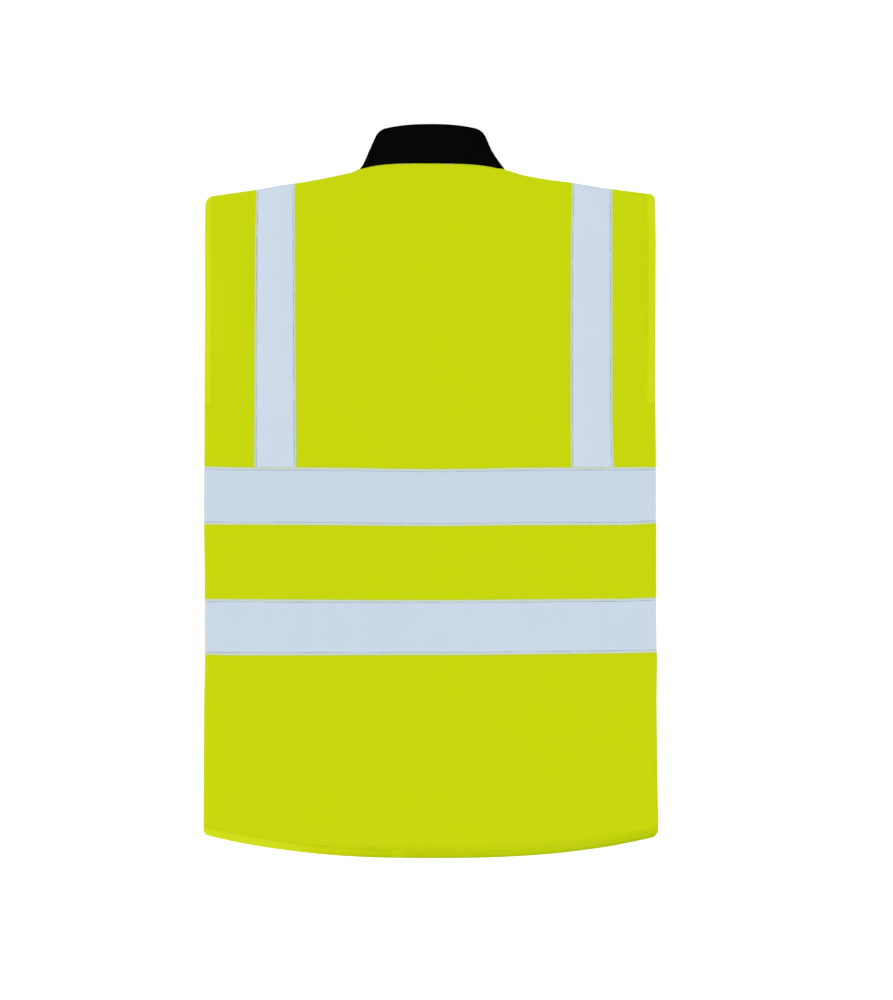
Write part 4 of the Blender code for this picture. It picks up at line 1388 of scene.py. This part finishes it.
TOOTH_PITCH = 0.0030
TOOTH_HALF = (0.0018, 0.000612, 0.0011)
TOOTH_X = 0.0011  # from the middle of the zip to that of a tooth
TOOTH_BEVEL = 0.0003
BOX_BEVEL = 0.0005
RIDGE = (0.8, 0.2, 1.08)  # of the raised ridge on the box, in its half sizes
RIDGE_BEVEL = 0.0002
ZIP_RIPPLE = (0.00008, 0.0300)  # height and length
ZIP_TAPE_TUCK = 0.0020  # how far the tape reaches in under the front


def make_zip_tape(name, node, side):
    low, high = HEM_SIDE_Y, highest(node).y
    columns = np.sort(side * np.linspace(ZIP_TAPE_INNER, FRONT_EDGE + ZIP_TAPE_TUCK, 7))
    column, row = np.meshgrid(columns, filled([low, high], PANEL_STEP))
    height, length = ZIP_RIPPLE
    wave = height * ripples(row, side, length)
    lower, upper = [points_at(column, row, face + wave) for face in ZIP_TAPE_Z]
    piece = slab(name, upper, lower, ["zip_cloth"])
    dress(piece, [node])


def rounded_box(centre, half, bevel):
    """Rings of a block with rounded edges, from its low-y end to its high-y end."""
    corners = []
    for quarter in range(4):
        for turn in (22, 68):
            angle = math.radians(90 * quarter + turn)
            ways = ((half[0], math.cos(angle)), (half[2], math.sin(angle)))
            corners.append([math.copysign(size - bevel, way) + bevel * way for size, way in ways])
    rings = []
    for cut, y in ((bevel, -half[1]), (0, bevel - half[1]), (0, half[1] - bevel), (bevel, half[1])):
        shrink_x, shrink_z = 1 - cut / half[0], 1 - cut / half[2]
        ring = [(x * shrink_x, y, z * shrink_z) for x, z in corners]
        rings.append(np.add(ring, centre))
    return rings


def make_zip():
    make_zip_tape("zip_cloth_left", "zip_tape_left", -1)
    make_zip_tape("zip_cloth_right", "zip_tape_right", 1)
    teeth = []
    middle_z = sum(CHAIN_Z) / 2
    for number in range(int((CHAIN_Y[1] - CHAIN_Y[0]) / TOOTH_PITCH)):
        for side in (-1, 1):
            y = CHAIN_Y[0] + TOOTH_PITCH * (number + 0.5 + 0.25 * side)
            teeth.append(rounded_box((side * TOOTH_X, y, middle_z), TOOTH_HALF, TOOTH_BEVEL))
    dress(tubes("zip_teeth", teeth, "plastic", crisp=30), ["zip_chain"])
    box_low, box_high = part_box("zip_box")
    centre, half = (box_low + box_high) / 2, (box_high - box_low) / 2
    blocks = [rounded_box(centre, half, BOX_BEVEL)]
    blocks.append(rounded_box(centre, np.multiply(half, RIDGE), RIDGE_BEVEL))
    dress(tubes("zip_bottom_box", blocks, "plastic", crisp=30), ["zip_box"])
    for node in ("zip_slider", "zip_pull"):
        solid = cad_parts[node]
        solid.data.materials.clear()
        solid.data.materials.append(MATERIALS["metal"])


# ---- floor, light and camera ----

CAMERA_X, CAMERA_Y = 0.0192, -0.0113
CAMERA_HEIGHT = 6.0
SHARP_Z = 0.0085  # the height at which the picture is VIEW_HEIGHT tall
VIEW_HEIGHT = 1.2  # metres of the table from the bottom to the top of the picture
SENSOR = 36.0  # width in millimetres
FLOOR_SIZE = 16.0
FLOOR_Z = -0.0004
FLOOR_GREY = 0.86
FLOOR_ROUGHNESS = 0.9
FLOOR_GLOW = 0.45
SKY = 0.68
SUN = 1.13
SUN_SPREAD = math.radians(60)
SUN_TILT = math.radians(-11)


def make_floor():
    material = bpy.data.materials.new("pale_floor")
    material.use_nodes = True
    inputs = material.node_tree.nodes["Principled BSDF"].inputs
    inputs["Base Color"].default_value = (FLOOR_GREY, FLOOR_GREY, FLOOR_GREY, 1)
    inputs["Roughness"].default_value = FLOOR_ROUGHNESS
    inputs["Emission Color"].default_value = (1, 1, 1, 1)
    inputs["Emission Strength"].default_value = FLOOR_GLOW
    bpy.ops.mesh.primitive_plane_add(size=FLOOR_SIZE, location=(0, 0, FLOOR_Z))
    floor = bpy.context.object
    floor.name = "floor"
    floor.data.materials.append(material)


def make_light():
    world = bpy.data.worlds.new("studio")
    world.use_nodes = True
    background = world.node_tree.nodes["Background"]
    background.inputs["Color"].default_value = (1, 1, 1, 1)
    background.inputs["Strength"].default_value = SKY
    bpy.context.scene.world = world
    key = bpy.data.lights.new("key", "SUN")
    key.energy = SUN
    key.angle = SUN_SPREAD
    add_object("key", key).rotation_euler = (0, SUN_TILT, 0)


def make_camera():
    data = bpy.data.cameras.new("camera")
    data.sensor_width = SENSOR
    data.lens = SENSOR * CAMERA_HEIGHT / VIEW_HEIGHT
    camera = add_object("camera", data)
    camera.location = (CAMERA_X, CAMERA_Y, SHARP_Z + CAMERA_HEIGHT)
    bpy.context.scene.camera = camera
    bpy.context.scene.view_settings.view_transform = "Standard"


# ---- the bodywarmer ----


def main():
    make_camera()
    make_light()
    make_floor()
    for layer, _, sides in PANELS:
        CUSHIONS[layer].append(simulate_padding(layer, sides))
    for panel in PANELS:
        make_panel(*panel)
    for panel in PANELS:
        make_hem_binding(*panel)
    for half, side in (("_left", -1), ("_right", 1)):
        for layer in ("back", "front"):
            make_armhole_binding(layer, half, side)
    for layer in ("back", "front"):
        for panel in PANELS:
            if panel[0] == layer:
                make_bands(*panel)
        make_braces(layer)
    make_neck_stitches()
    for panel in PANELS:
        make_stitching(*panel)
    make_collar()
    make_zip()


main()
